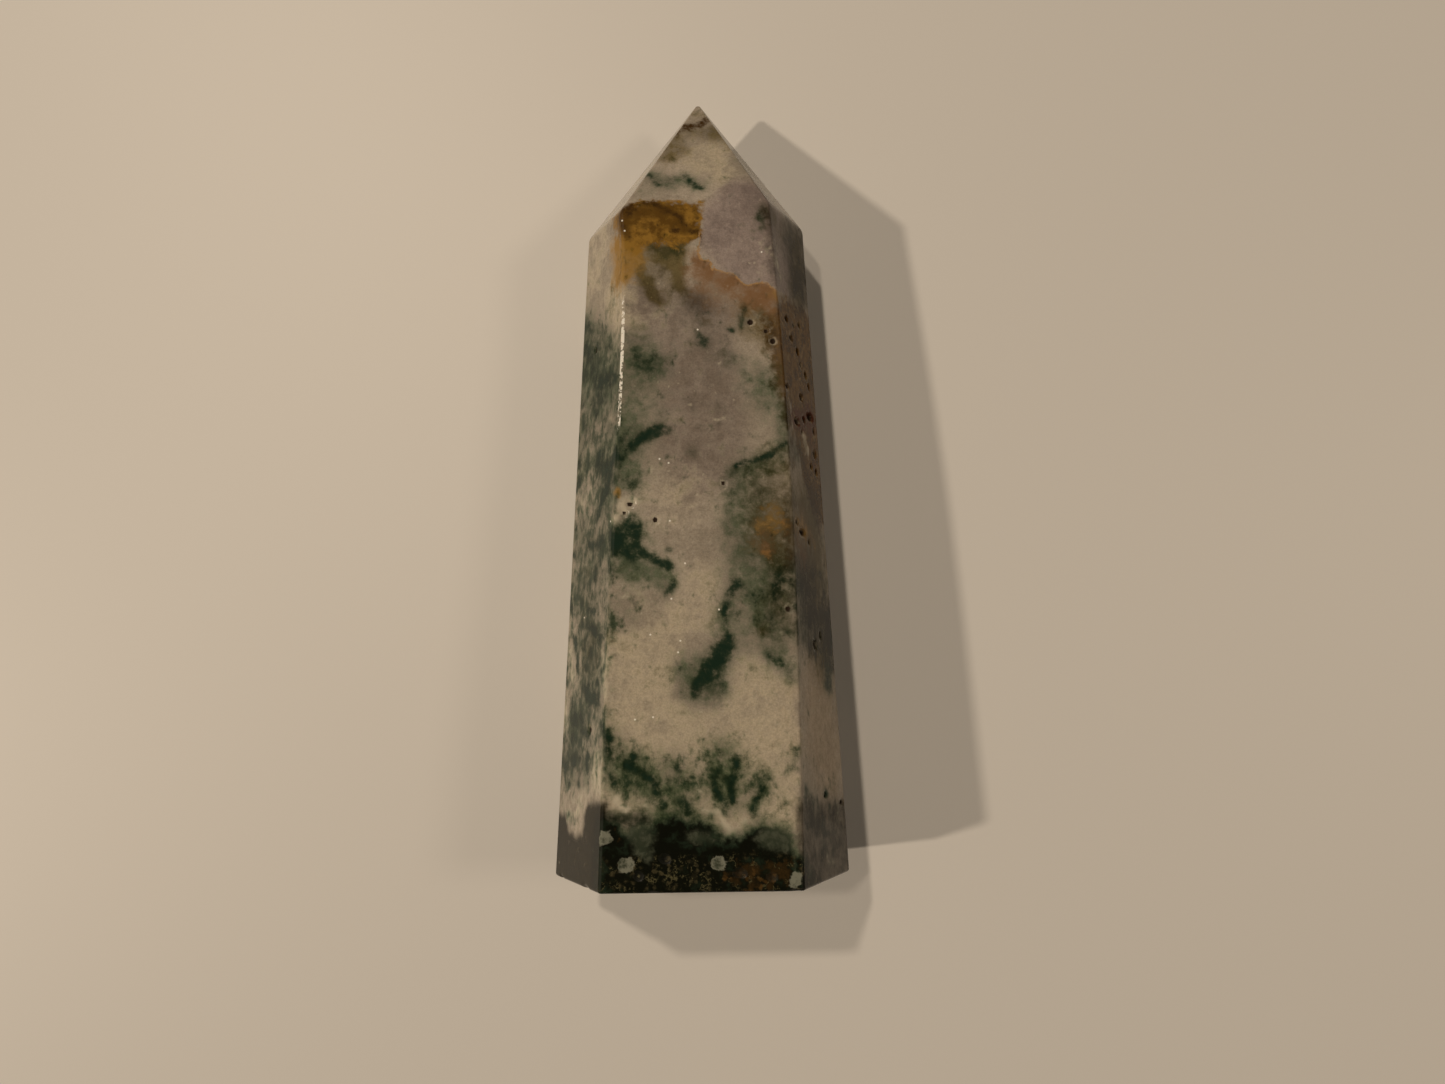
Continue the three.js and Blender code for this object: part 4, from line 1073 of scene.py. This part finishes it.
# Colours of the stone, linear
MAUVE_DARK = (0.215, 0.18, 0.15)
MAUVE_LIGHT = (0.34, 0.295, 0.255)
GREY_DARK = (0.31, 0.272, 0.22)
GREY_LIGHT = (0.51, 0.447, 0.372)
CREAM = (0.53, 0.465, 0.355)
CREAM_SHADED = (0.42, 0.37, 0.29)
LILAC = (0.37, 0.31, 0.285)
LILAC_SHADED = (0.22, 0.18, 0.165)
BEIGE = (0.48, 0.39, 0.29)
BEIGE_SHADED = (0.34, 0.275, 0.20)
PALE = (0.58, 0.53, 0.42)
PEACH = (0.24, 0.138, 0.07)
RIM = (0.42, 0.26, 0.12)
OCHRE = (0.36, 0.225, 0.075)
IRON = (0.32, 0.18, 0.034)
IRON_SHADED = (0.13, 0.068, 0.013)
UMBER = (0.062, 0.032, 0.009)
ORANGE = (0.25, 0.14, 0.05)
MATRIX = (0.17, 0.09, 0.020)
MATRIX_SHADED = (0.06, 0.029, 0.005)
MATRIX_CRUST = (0.26, 0.165, 0.065)
CRACK = (0.085, 0.02, 0.005)
MOSS = (0.012, 0.030, 0.019)
BASE_BLACK = (0.006, 0.007, 0.004)
BASE_GREEN = (0.020, 0.034, 0.021)
BASE_GRAIN = (0.075, 0.065, 0.034)
BASE_VEIN = (0.105, 0.098, 0.05)
BASE_RUST = (0.095, 0.053, 0.016)
LUMP = (0.045, 0.057, 0.037)
LUMP_PALE = (0.095, 0.108, 0.077)
CRYSTAL = (0.24, 0.25, 0.20)
CRYSTAL_DEEP = (0.065, 0.075, 0.052)
PIT = (0.022, 0.012, 0.006)
# White painted on as glints and as the highlight along the bruised edge
PAINTED_HIGHLIGHT = (0.95, 0.93, 0.86)
# How much grey chalcedony lies over the matrix under the top facet
MATRIX_VEIL = 0.2
# How strongly the crusts round the pits show
PIT_CRUST = 0.4
# What the stone behind them keeps of its colour
HAZE_TINT = (0.25, 0.34, 0.27)
SMOKE_TINT = (0.36, 0.33, 0.19)
DUSK_TINT = (0.045, 0.044, 0.024)

# The painted glints' radius in metres, with a soft edge from this share of it to that
PAINTED_GLINT_RADIUS = 0.00014
PAINTED_GLINT_EDGE = (0.6, 1.3)
# The polished finish
POLISHED_ROUGHNESS = (0.10, 0.16)
# How much rougher the worn edges and the pits are
EDGE_WEAR = 0.45
PIT_WEAR = 0.5
ROUGHEST = 0.8
AGATE_IOR = 1.54
AGATE_SHINE = 0.13
# Light enters the stone and spreads about a millimetre
TRANSLUCENCY = 0.1
LIGHT_REACH = (1.0, 0.8, 0.6)
LIGHT_REACH_SCALE = 0.001
BUMP_HEIGHT = 0.0001
BUMP_STRENGTH = 0.4


class Nodes:
    """Adds nodes to a material and joins them."""

    def __init__(self, material):
        material.use_nodes = True
        self.tree = material.node_tree
        self.shader = self.tree.nodes["Principled BSDF"]

    def join(self, value, socket):
        if isinstance(value, bpy.types.NodeSocket):
            self.tree.links.new(value, socket)
        elif isinstance(value, tuple) and len(value) == 3 and socket.type == "RGBA":
            socket.default_value = (*value, 1)
        else:
            socket.default_value = value

    def add(self, kind, inputs, **settings):
        node = self.tree.nodes.new("ShaderNode" + kind)
        for name, value in settings.items():
            setattr(node, name, value)
        for name, value in inputs.items():
            self.join(value, node.inputs[name])
        return node

    def math(self, operation, *values):
        return self.add("Math", dict(enumerate(values)), operation=operation).outputs[0]

    def total(self, *terms):
        """The sum of terms, each a (value, factor)."""
        result = 0.0
        for value, factor in terms:
            result = self.math("MULTIPLY_ADD", value, factor, result)
        return result

    def times(self, a, b):
        return self.math("MULTIPLY", a, b)

    def attribute(self, name):
        return self.add("Attribute", {}, attribute_name=name).outputs["Fac"]

    def marked(self, name, *noises):
        """The strength of a marking, broken up by noises, each a (value, factor)."""
        return self.total((self.attribute(name), 1.0), *noises)

    def place(self):
        return self.add("TexCoord", {}).outputs["Object"]

    def grain(self, size, detail=4.0, roughness=0.55, distortion=0.0, stretch=1.0):
        """Noise about 0, which changes over size millimetres, drawn out along the stone by stretch."""
        scale = (1000 / size, 1000 / size / stretch, 1000 / size)
        scaled = self.add("Mapping", {"Vector": self.place(), "Scale": scale}).outputs[0]
        inputs = {"Vector": scaled, "Scale": 1.0, "Detail": detail, "Roughness": roughness}
        noise_node = self.add("TexNoise", {**inputs, "Distortion": distortion})
        return self.math("SUBTRACT", noise_node.outputs["Fac"], 0.5)

    def cells(self, size, warp):
        """Cells about size millimetres across, whose places are shifted by warp."""
        scaled = self.add("Mapping", {"Vector": self.place(), "Scale": (1000 / size,) * 3}).outputs[0]
        shifted = self.add("VectorMath", {0: scaled, 1: warp}, operation="ADD").outputs[0]
        return self.add("TexVoronoi", {"Vector": shifted, "Scale": 1.0})

    def between(self, share, a, b):
        """The value that is this share of the way from a to b."""
        return self.math("MULTIPLY_ADD", share, self.math("SUBTRACT", b, a), a)

    def ramp(self, value, low, high, to_low=0.0, to_high=1.0):
        inputs = {"Value": value, "From Min": low, "From Max": high, "To Min": to_low, "To Max": to_high}
        return self.add("MapRange", inputs, interpolation_type="SMOOTHSTEP").outputs["Result"]

    def shown(self, name, low, high, *noises):
        """How much of a marking shows: its strength, broken up by noises, from low to high."""
        strength = self.attribute(name)
        share = self.ramp(self.total((strength, 1.0), *noises), low, high)
        return self.times(share, self.ramp(strength, 0.03, 0.25))

    def mix(self, share, a, b, blend="MIX"):
        node = self.add("Mix", {}, data_type="RGBA", blend_type=blend)
        self.join(share, node.inputs["Factor"])
        colours = [s for s in node.inputs if s.type == "RGBA"]
        self.join(a, colours[0])
        self.join(b, colours[1])
        return next(s for s in node.outputs if s.type == "RGBA")

    def tint(self, share, colour, by):
        return self.mix(share, colour, by, blend="MULTIPLY")


class StoneNodes(Nodes):
    """Nodes of the stone's own material, with the noises that its markings share."""

    def __init__(self, material):
        super().__init__(material)
        self.side = self.attribute("side")
        self.broad = self.grain(13, detail=5)
        self.cloud = self.grain(4.5, detail=6, roughness=0.62, distortion=0.4)
        # On the side facets the clouds are drawn out along the stone
        plumes = self.grain(1.5, 6, 0.62, 0.2), self.grain(1.3, 6, 0.62, 0.3, 1.9)
        self.plume = self.between(self.side, *plumes)
        flecks = self.grain(1.2, 5, 0.58, 0.2, 1.3), self.grain(1.2, 5, 0.58, 0.3, 1.8)
        self.fleck = self.between(self.side, *flecks)
        self.fine = self.grain(0.6, detail=5, roughness=0.65)
        self.sugar = self.grain(0.24, detail=3)
        self.rough = self.total((self.plume, 3.0), (self.fine, 1.3))
        # How far inside the outline of the nodule
        self.nodule = self.marked("nodule", (self.plume, 2.0), (self.fine, 0.8))
        # Shifts the cells of dust and grains, so that their outlines are irregular
        warp = self.add("TexNoise", {"Vector": self.place(), "Scale": 900.0, "Detail": 4.0})
        self.warp = warp.outputs["Color"]


def clear_stone(n):
    """Grey, mauve, lilac, cream and beige zones, clouded and sugary."""
    cloudy = n.total((n.broad, 0.6), (n.cloud, 1.0), (n.plume, 0.5))
    colour = n.mix(n.ramp(cloudy, -0.22, 0.24), GREY_DARK, GREY_LIGHT)
    mauve = n.mix(n.ramp(cloudy, -0.22, 0.24), MAUVE_DARK, MAUVE_LIGHT)
    colour = n.mix(n.ramp(n.marked("mauve", (n.cloud, 1.4)), 0.1, 0.9), colour, mauve)
    cream = n.mix(n.ramp(n.total((n.cloud, 1.0), (n.plume, 0.7)), -0.2, 0.15), CREAM_SHADED, CREAM)
    creamy = n.marked("cream", (n.cloud, 1.8), (n.plume, 1.0))
    colour = n.mix(n.ramp(creamy, 0.05, 1.0), colour, cream)
    beige = n.mix(n.ramp(n.plume, -0.2, 0.2), BEIGE_SHADED, BEIGE)
    colour = n.mix(n.ramp(n.marked("beige", (n.cloud, 1.2)), 0.1, 0.9), colour, beige)
    in_nodule = n.times(n.ramp(n.nodule, -0.25, 0.3), n.ramp(n.attribute("lilac"), 0.1, 0.8))
    lilac = n.mix(n.ramp(cloudy, -0.25, 0.2), LILAC_SHADED, LILAC)
    colour = n.mix(in_nodule, colour, lilac)
    sugary = n.total((n.sugar, 0.6), (n.fine, 0.6))
    colour = n.tint(1.0, colour, n.ramp(sugary, -0.25, 0.25, 0.8, 1.2))
    return colour


def with_dust(n, colour):
    """Fine pale dust."""
    dust = n.cells(1.1, n.warp)
    chance = n.add("SeparateColor", {"Color": dust.outputs["Color"]}).outputs["Blue"]
    dust_edge = n.total((dust.outputs["Distance"], 1.0), (n.fine, 0.7))
    spot = n.times(n.ramp(dust_edge, 0.22, 0.04), n.ramp(chance, 0.5, 0.95, 0.0, 0.55))
    return n.mix(spot, colour, PALE)


def with_matrix(n, colour):
    """The brown matrix on the right, with rusty cracks and pale crusts."""
    matrix_grain = n.total((n.plume, 1.6), (n.cloud, 1.0), (n.fine, 1.2))
    matrix = n.mix(n.ramp(matrix_grain, -0.24, 0.26), MATRIX_SHADED, MATRIX)
    matrix = n.mix(n.ramp(n.marked("rust", (n.plume, 2.0)), 0.25, 0.9), matrix, CRACK)
    crust = n.total((n.fleck, 1.0), (n.fine, 0.7))
    matrix = n.mix(n.ramp(crust, 0.04, 0.2, 0.0, 0.85), matrix, MATRIX_CRUST)
    matrix = n.mix(n.between(n.side, MATRIX_VEIL, 0.0), matrix, GREY_DARK)
    matrix_edge = n.marked("matrix", (n.cloud, 6.0), (n.plume, 4.0))
    colour = n.mix(n.ramp(matrix_edge, -1.0, 1.2), colour, matrix)
    return colour


def with_stains(n, colour):
    """Stains and grains that let the stone behind them show through."""
    dusk = n.marked("dusk", (n.cloud, 0.9), (n.plume, 0.7))
    colour = n.tint(n.ramp(dusk, 0.05, 0.9), colour, DUSK_TINT)
    smoke = n.marked("smoke", (n.cloud, 1.0), (n.plume, 1.0))
    colour = n.tint(n.ramp(smoke, 0.05, 0.9), colour, SMOKE_TINT)
    haze = n.marked("haze", (n.cloud, 1.3), (n.plume, 1.4), (n.fine, 0.5))
    colour = n.tint(n.ramp(haze, 0.05, 1.05), colour, HAZE_TINT)
    peach = n.shown("peach", 0.1, 1.2, (n.plume, 1.2), (n.cloud, 1.2))
    peach = n.times(peach, n.ramp(n.nodule, 0.15, -0.15))
    colour = n.mix(peach, colour, PEACH)
    ochre = n.shown("ochre", 0.1, 1.1, (n.cloud, 1.2), (n.plume, 1.6))
    colour = n.mix(ochre, colour, n.mix(n.ramp(n.rough, -0.5, 0.5), IRON, OCHRE))
    pale = n.marked("pale", (n.plume, 2.0), (n.fine, 0.8))
    colour = n.mix(n.ramp(pale, 0.2, 1.2), colour, PALE)
    return colour


def with_iron(n, colour):
    """The iron patch, its dark veins and the bright rim of the nodule."""
    iron_grain = n.total((n.cloud, 1.4), (n.plume, 2.2), (n.fine, 0.8), (n.attribute("ochre"), 0.35))
    iron = n.mix(n.ramp(iron_grain, -0.25, 0.45), IRON_SHADED, IRON)
    iron_edge = n.marked("iron", (n.plume, 4.0), (n.cloud, 2.5))
    colour = n.mix(n.ramp(iron_edge, -0.5, 0.6), colour, iron)
    colour = n.mix(n.shown("umber", 0.15, 1.1, (n.plume, 2.6), (n.fine, 1.2)), colour, UMBER)
    colour = n.mix(n.shown("orange", 0.2, 1.1, (n.plume, 2.5), (n.fine, 1.5)), colour, ORANGE)
    on_rim = n.ramp(n.math("ABSOLUTE", n.nodule), 0.24, 0.03)
    rim = n.times(on_rim, n.ramp(n.marked("rim", (n.plume, 3.0)), 0.3, 1.1))
    colour = n.mix(rim, colour, RIM)
    return colour


def with_crusts(n, colour):
    """Pale crusts round the pits."""
    crust = n.times(n.ramp(n.attribute("pit"), -1.0, -0.1), n.ramp(n.plume, -0.03, 0.14))
    return n.mix(n.times(crust, PIT_CRUST), colour, PALE)


def with_moss(n, colour):
    """Moss: flecks first, then its plumes, thin and teal at their edges."""
    scattered = n.marked("fleck", (n.fleck, 2.6), (n.cloud, 1.0), (n.fine, 0.6))
    colour = n.tint(n.ramp(scattered, 0.15, 0.95), colour, HAZE_TINT)
    colour = n.mix(n.ramp(scattered, 0.6, 1.5, 0.0, 0.8), colour, MOSS)
    density = n.attribute("moss")
    moss = n.total((density, 1.0), (n.times(n.rough, density), 0.8))
    colour = n.tint(n.ramp(moss, 0.02, 0.85), colour, HAZE_TINT)
    colour = n.mix(n.ramp(moss, 0.3, 1.15, 0.0, 0.96), colour, MOSS)
    return colour


def with_pits(n, colour):
    """Dark pits."""
    return n.mix(n.ramp(n.attribute("pit"), 0.1, 0.7), colour, PIT)


def with_dark_base(n, colour):
    """The green-black base, with veins, grains of rust and tan, grey-green lumps and crystals."""
    depth = n.marked("dark", (n.plume, 3.0), (n.cloud, 2.0))
    deep = n.ramp(n.total((depth, 1.0), (n.cloud, 3.0), (n.plume, 2.0)), -0.4, 1.3)
    base = n.mix(deep, BASE_GREEN, BASE_BLACK)
    low = n.ramp(n.marked("low", (n.cloud, 1.0)), 0.35, 0.8)
    seam = n.ramp(n.math("ABSOLUTE", n.total((n.plume, 1.0), (n.fine, 0.35))), 0.045, 0.005)
    vein = n.times(seam, n.ramp(n.total((n.fleck, 1.0), (n.sugar, 0.4)), 0.0, 0.16))
    base = n.mix(n.times(vein, low), base, BASE_VEIN)
    grains = n.cells(0.95, n.warp)
    kind_of_grain = n.add("SeparateColor", {"Color": grains.outputs["Color"]})
    rusty = n.ramp(n.marked("rust", (n.plume, 1.5)), 0.2, 0.7)
    grain_edge = n.total((grains.outputs["Distance"], 1.0), (n.fine, 1.1), (n.fleck, 0.6))
    crusty = n.ramp(n.total((n.fleck, 1.0), (n.cloud, 1.0)), -0.16, 0.12)
    within = n.times(n.ramp(grain_edge, 0.5, 0.2), crusty)
    show = n.times(n.ramp(kind_of_grain.outputs["Red"], 0.4, 0.8), within)
    tan_or_rust = n.ramp(n.total((rusty, 1.0), (kind_of_grain.outputs["Green"], 0.4)), 0.5, 1.0)
    grain_colour = n.mix(tan_or_rust, BASE_GRAIN, BASE_RUST)
    base = n.mix(n.times(show, n.times(low, 0.85)), base, grain_colour)
    rusted = n.ramp(n.total((rusty, 0.8), (n.rough, 0.5)), 0.5, 1.3, 0.0, 0.5)
    base = n.mix(rusted, base, BASE_RUST)
    colour = n.tint(n.ramp(depth, -2.0, 0.2), colour, HAZE_TINT)
    colour = n.mix(n.ramp(depth, -0.5, 0.7), colour, base)
    lump = n.mix(n.ramp(n.total((n.cloud, 1.0), (n.plume, 2.0)), -0.2, 0.4), LUMP, LUMP_PALE)
    lump_edge = n.marked("lump", (n.plume, 3.0))
    colour = n.mix(n.ramp(lump_edge, -0.4, 1.0, 0.0, 0.85), colour, lump)
    crystal_depth = n.marked("crystal", (n.fine, 1.0), (n.plume, 1.0))
    shadowed = n.ramp(n.total((crystal_depth, 0.7), (n.rough, 0.9)), 0.0, 0.8)
    crystal = n.mix(shadowed, CRYSTAL, CRYSTAL_DEEP)
    colour = n.mix(n.ramp(crystal_depth, -0.1, 0.15, 0.0, 0.92), colour, crystal)
    return colour


def with_painted_glints(n, colour):
    """Painted highlights: white glints painted on grains and a broken highlight painted along the bruised
    edge.
    """
    nearest_painted_glint = 1.0
    # Each painted glint is a soft white spot round its place
    for facet, along, across in PAINTED_GLINT_SPOTS:
        spot = tuple(lay_down(on_facet(facet, along, across)))
        away = n.add("VectorMath", {0: n.place(), 1: spot}, operation="DISTANCE").outputs["Value"]
        nearest_painted_glint = n.math("MINIMUM", away, nearest_painted_glint)
    inner, outer = (share * PAINTED_GLINT_RADIUS for share in PAINTED_GLINT_EDGE)
    colour = n.mix(n.ramp(nearest_painted_glint, outer, inner), colour, PAINTED_HIGHLIGHT)
    # A broken white highlight painted along the bruised edge
    broken = n.total((n.attribute("bruise_and_painted_highlight"), 0.12), (n.fine, 1.0), (n.plume, 0.8))
    bruise_and_painted_highlight = n.times(n.ramp(n.attribute("bruise_and_painted_highlight"), 0.0, 0.3), n.ramp(broken, 0.03, 0.14))
    colour = n.mix(bruise_and_painted_highlight, colour, PAINTED_HIGHLIGHT)
    return colour


def polish(n):
    """The polish: how rough each place is, how much light enters it, and its bump."""
    smooth = n.ramp(n.total((n.plume, 1.0), (n.cloud, 1.0)), -0.3, 0.3, *POLISHED_ROUGHNESS)
    round_pits = n.ramp(n.attribute("pit"), -1.0, -0.2)
    worn = n.total((n.attribute("dull"), EDGE_WEAR), (round_pits, PIT_WEAR), (smooth, 1.0))
    n.join(n.math("MINIMUM", worn, ROUGHEST), n.shader.inputs["Roughness"])
    n.shader.inputs["IOR"].default_value = AGATE_IOR
    n.shader.inputs["Specular IOR Level"].default_value = AGATE_SHINE
    n.shader.inputs["Subsurface Weight"].default_value = TRANSLUCENCY
    n.shader.inputs["Subsurface Radius"].default_value = LIGHT_REACH
    n.shader.inputs["Subsurface Scale"].default_value = LIGHT_REACH_SCALE
    bruised = n.times(n.attribute("bruise_and_painted_highlight"), n.fine)
    height = n.total((n.cloud, 0.5), (n.sugar, 0.03), (bruised, 4.0))
    bump = n.add("Bump", {"Height": height, "Distance": BUMP_HEIGHT, "Strength": BUMP_STRENGTH})
    n.join(bump.outputs["Normal"], n.shader.inputs["Normal"])


def polished_agate():
    """The stone's own finish: cloudy chalcedony with its markings, polished."""
    material = bpy.data.materials.new("polished_moss_agate")
    n = StoneNodes(material)
    colour = clear_stone(n)
    layers = [with_dust, with_matrix, with_stains, with_iron, with_crusts, with_moss, with_pits,
        with_dark_base, with_painted_glints]
    for layer in layers:
        colour = layer(n, colour)
    n.join(colour, n.shader.inputs["Base Color"])
    polish(n)
    return material


# The camera, above the tower and tipped a little towards its base
CAMERA_PLACE = (0.0023, -0.0228, 0.1774)
CAMERA_PITCH = math.radians(-4.322)
CAMERA_ROLL = math.radians(0.383)
CAMERA_YAW = math.radians(0.711)
FOCAL_PIXELS = 1085
IMAGE_WIDTH = 1445
SENSOR_WIDTH = 36


def make_camera():
    data = bpy.data.cameras.new("camera")
    data.sensor_width = SENSOR_WIDTH
    data.lens = SENSOR_WIDTH * FOCAL_PIXELS / IMAGE_WIDTH
    data.clip_start = 0.01
    camera = bpy.data.objects.new("camera", data)
    turn = Matrix.Rotation(CAMERA_PITCH, 4, "X")
    turn = turn @ Matrix.Rotation(CAMERA_ROLL, 4, "Y") @ Matrix.Rotation(CAMERA_YAW, 4, "Z")
    camera.matrix_world = Matrix.Translation(CAMERA_PLACE) @ turn.transposed()
    bpy.context.collection.objects.link(camera)
    bpy.context.scene.camera = camera


# Soft lamps: name, place, width, power in watts
LAMPS = [
    ("lamp_left", (-2.18, -0.32, 1.91), 0.12, 28.5),
    ("lamp_far", (-0.70, 1.07, 1.91), 0.12, 11),
    ("lamp_upper_left", (-0.67, 0.42, 1.91), 0.12, 4.6),
    ("lamp_right", (1.6, 0.1, 1.6), 0.4, 4.5),
]
LAMP_COLOUR = (1.0, 0.83, 0.64)
WORLD_COLOUR = (0.044, 0.0365, 0.028)
FLOOR_COLOUR = (0.80, 0.785, 0.76)
FLOOR_ROUGHNESS = 0.5
FLOOR_SHINE = 0.9
FLOOR_HALF_WIDTH = 3.0


def make_lights():
    for name, place, width, power in LAMPS:
        data = bpy.data.lights.new(name, "AREA")
        data.shape = "DISK"
        data.size = width
        data.energy = power
        data.color = LAMP_COLOUR
        lamp = bpy.data.objects.new(name, data)
        lamp.location = place
        lamp.rotation_euler = Vector(place).to_track_quat("Z", "Y").to_euler()
        bpy.context.collection.objects.link(lamp)
    world = bpy.data.worlds.new("room")
    world.use_nodes = True
    world.node_tree.nodes["Background"].inputs["Color"].default_value = (*WORLD_COLOUR, 1)
    bpy.context.scene.world = world
    bpy.context.scene.view_settings.view_transform = "Standard"


def make_floor():
    mesh = bpy.data.meshes.new("floor")
    w = FLOOR_HALF_WIDTH
    mesh.from_pydata([(-w, -w, 0), (w, -w, 0), (w, w, 0), (-w, w, 0)], [], [(0, 1, 2, 3)])
    floor = bpy.data.objects.new("floor", mesh)
    bpy.context.collection.objects.link(floor)
    material = bpy.data.materials.new("pale_floor")
    n = Nodes(material)
    n.join(FLOOR_COLOUR, n.shader.inputs["Base Color"])
    n.shader.inputs["Roughness"].default_value = FLOOR_ROUGHNESS
    n.shader.inputs["Specular IOR Level"].default_value = FLOOR_SHINE
    mesh.materials.append(material)


make_camera()
make_lights()
make_floor()

stone = build_stone()
stone.data.materials.append(polished_agate())
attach(stone, "root")
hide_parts("tower")
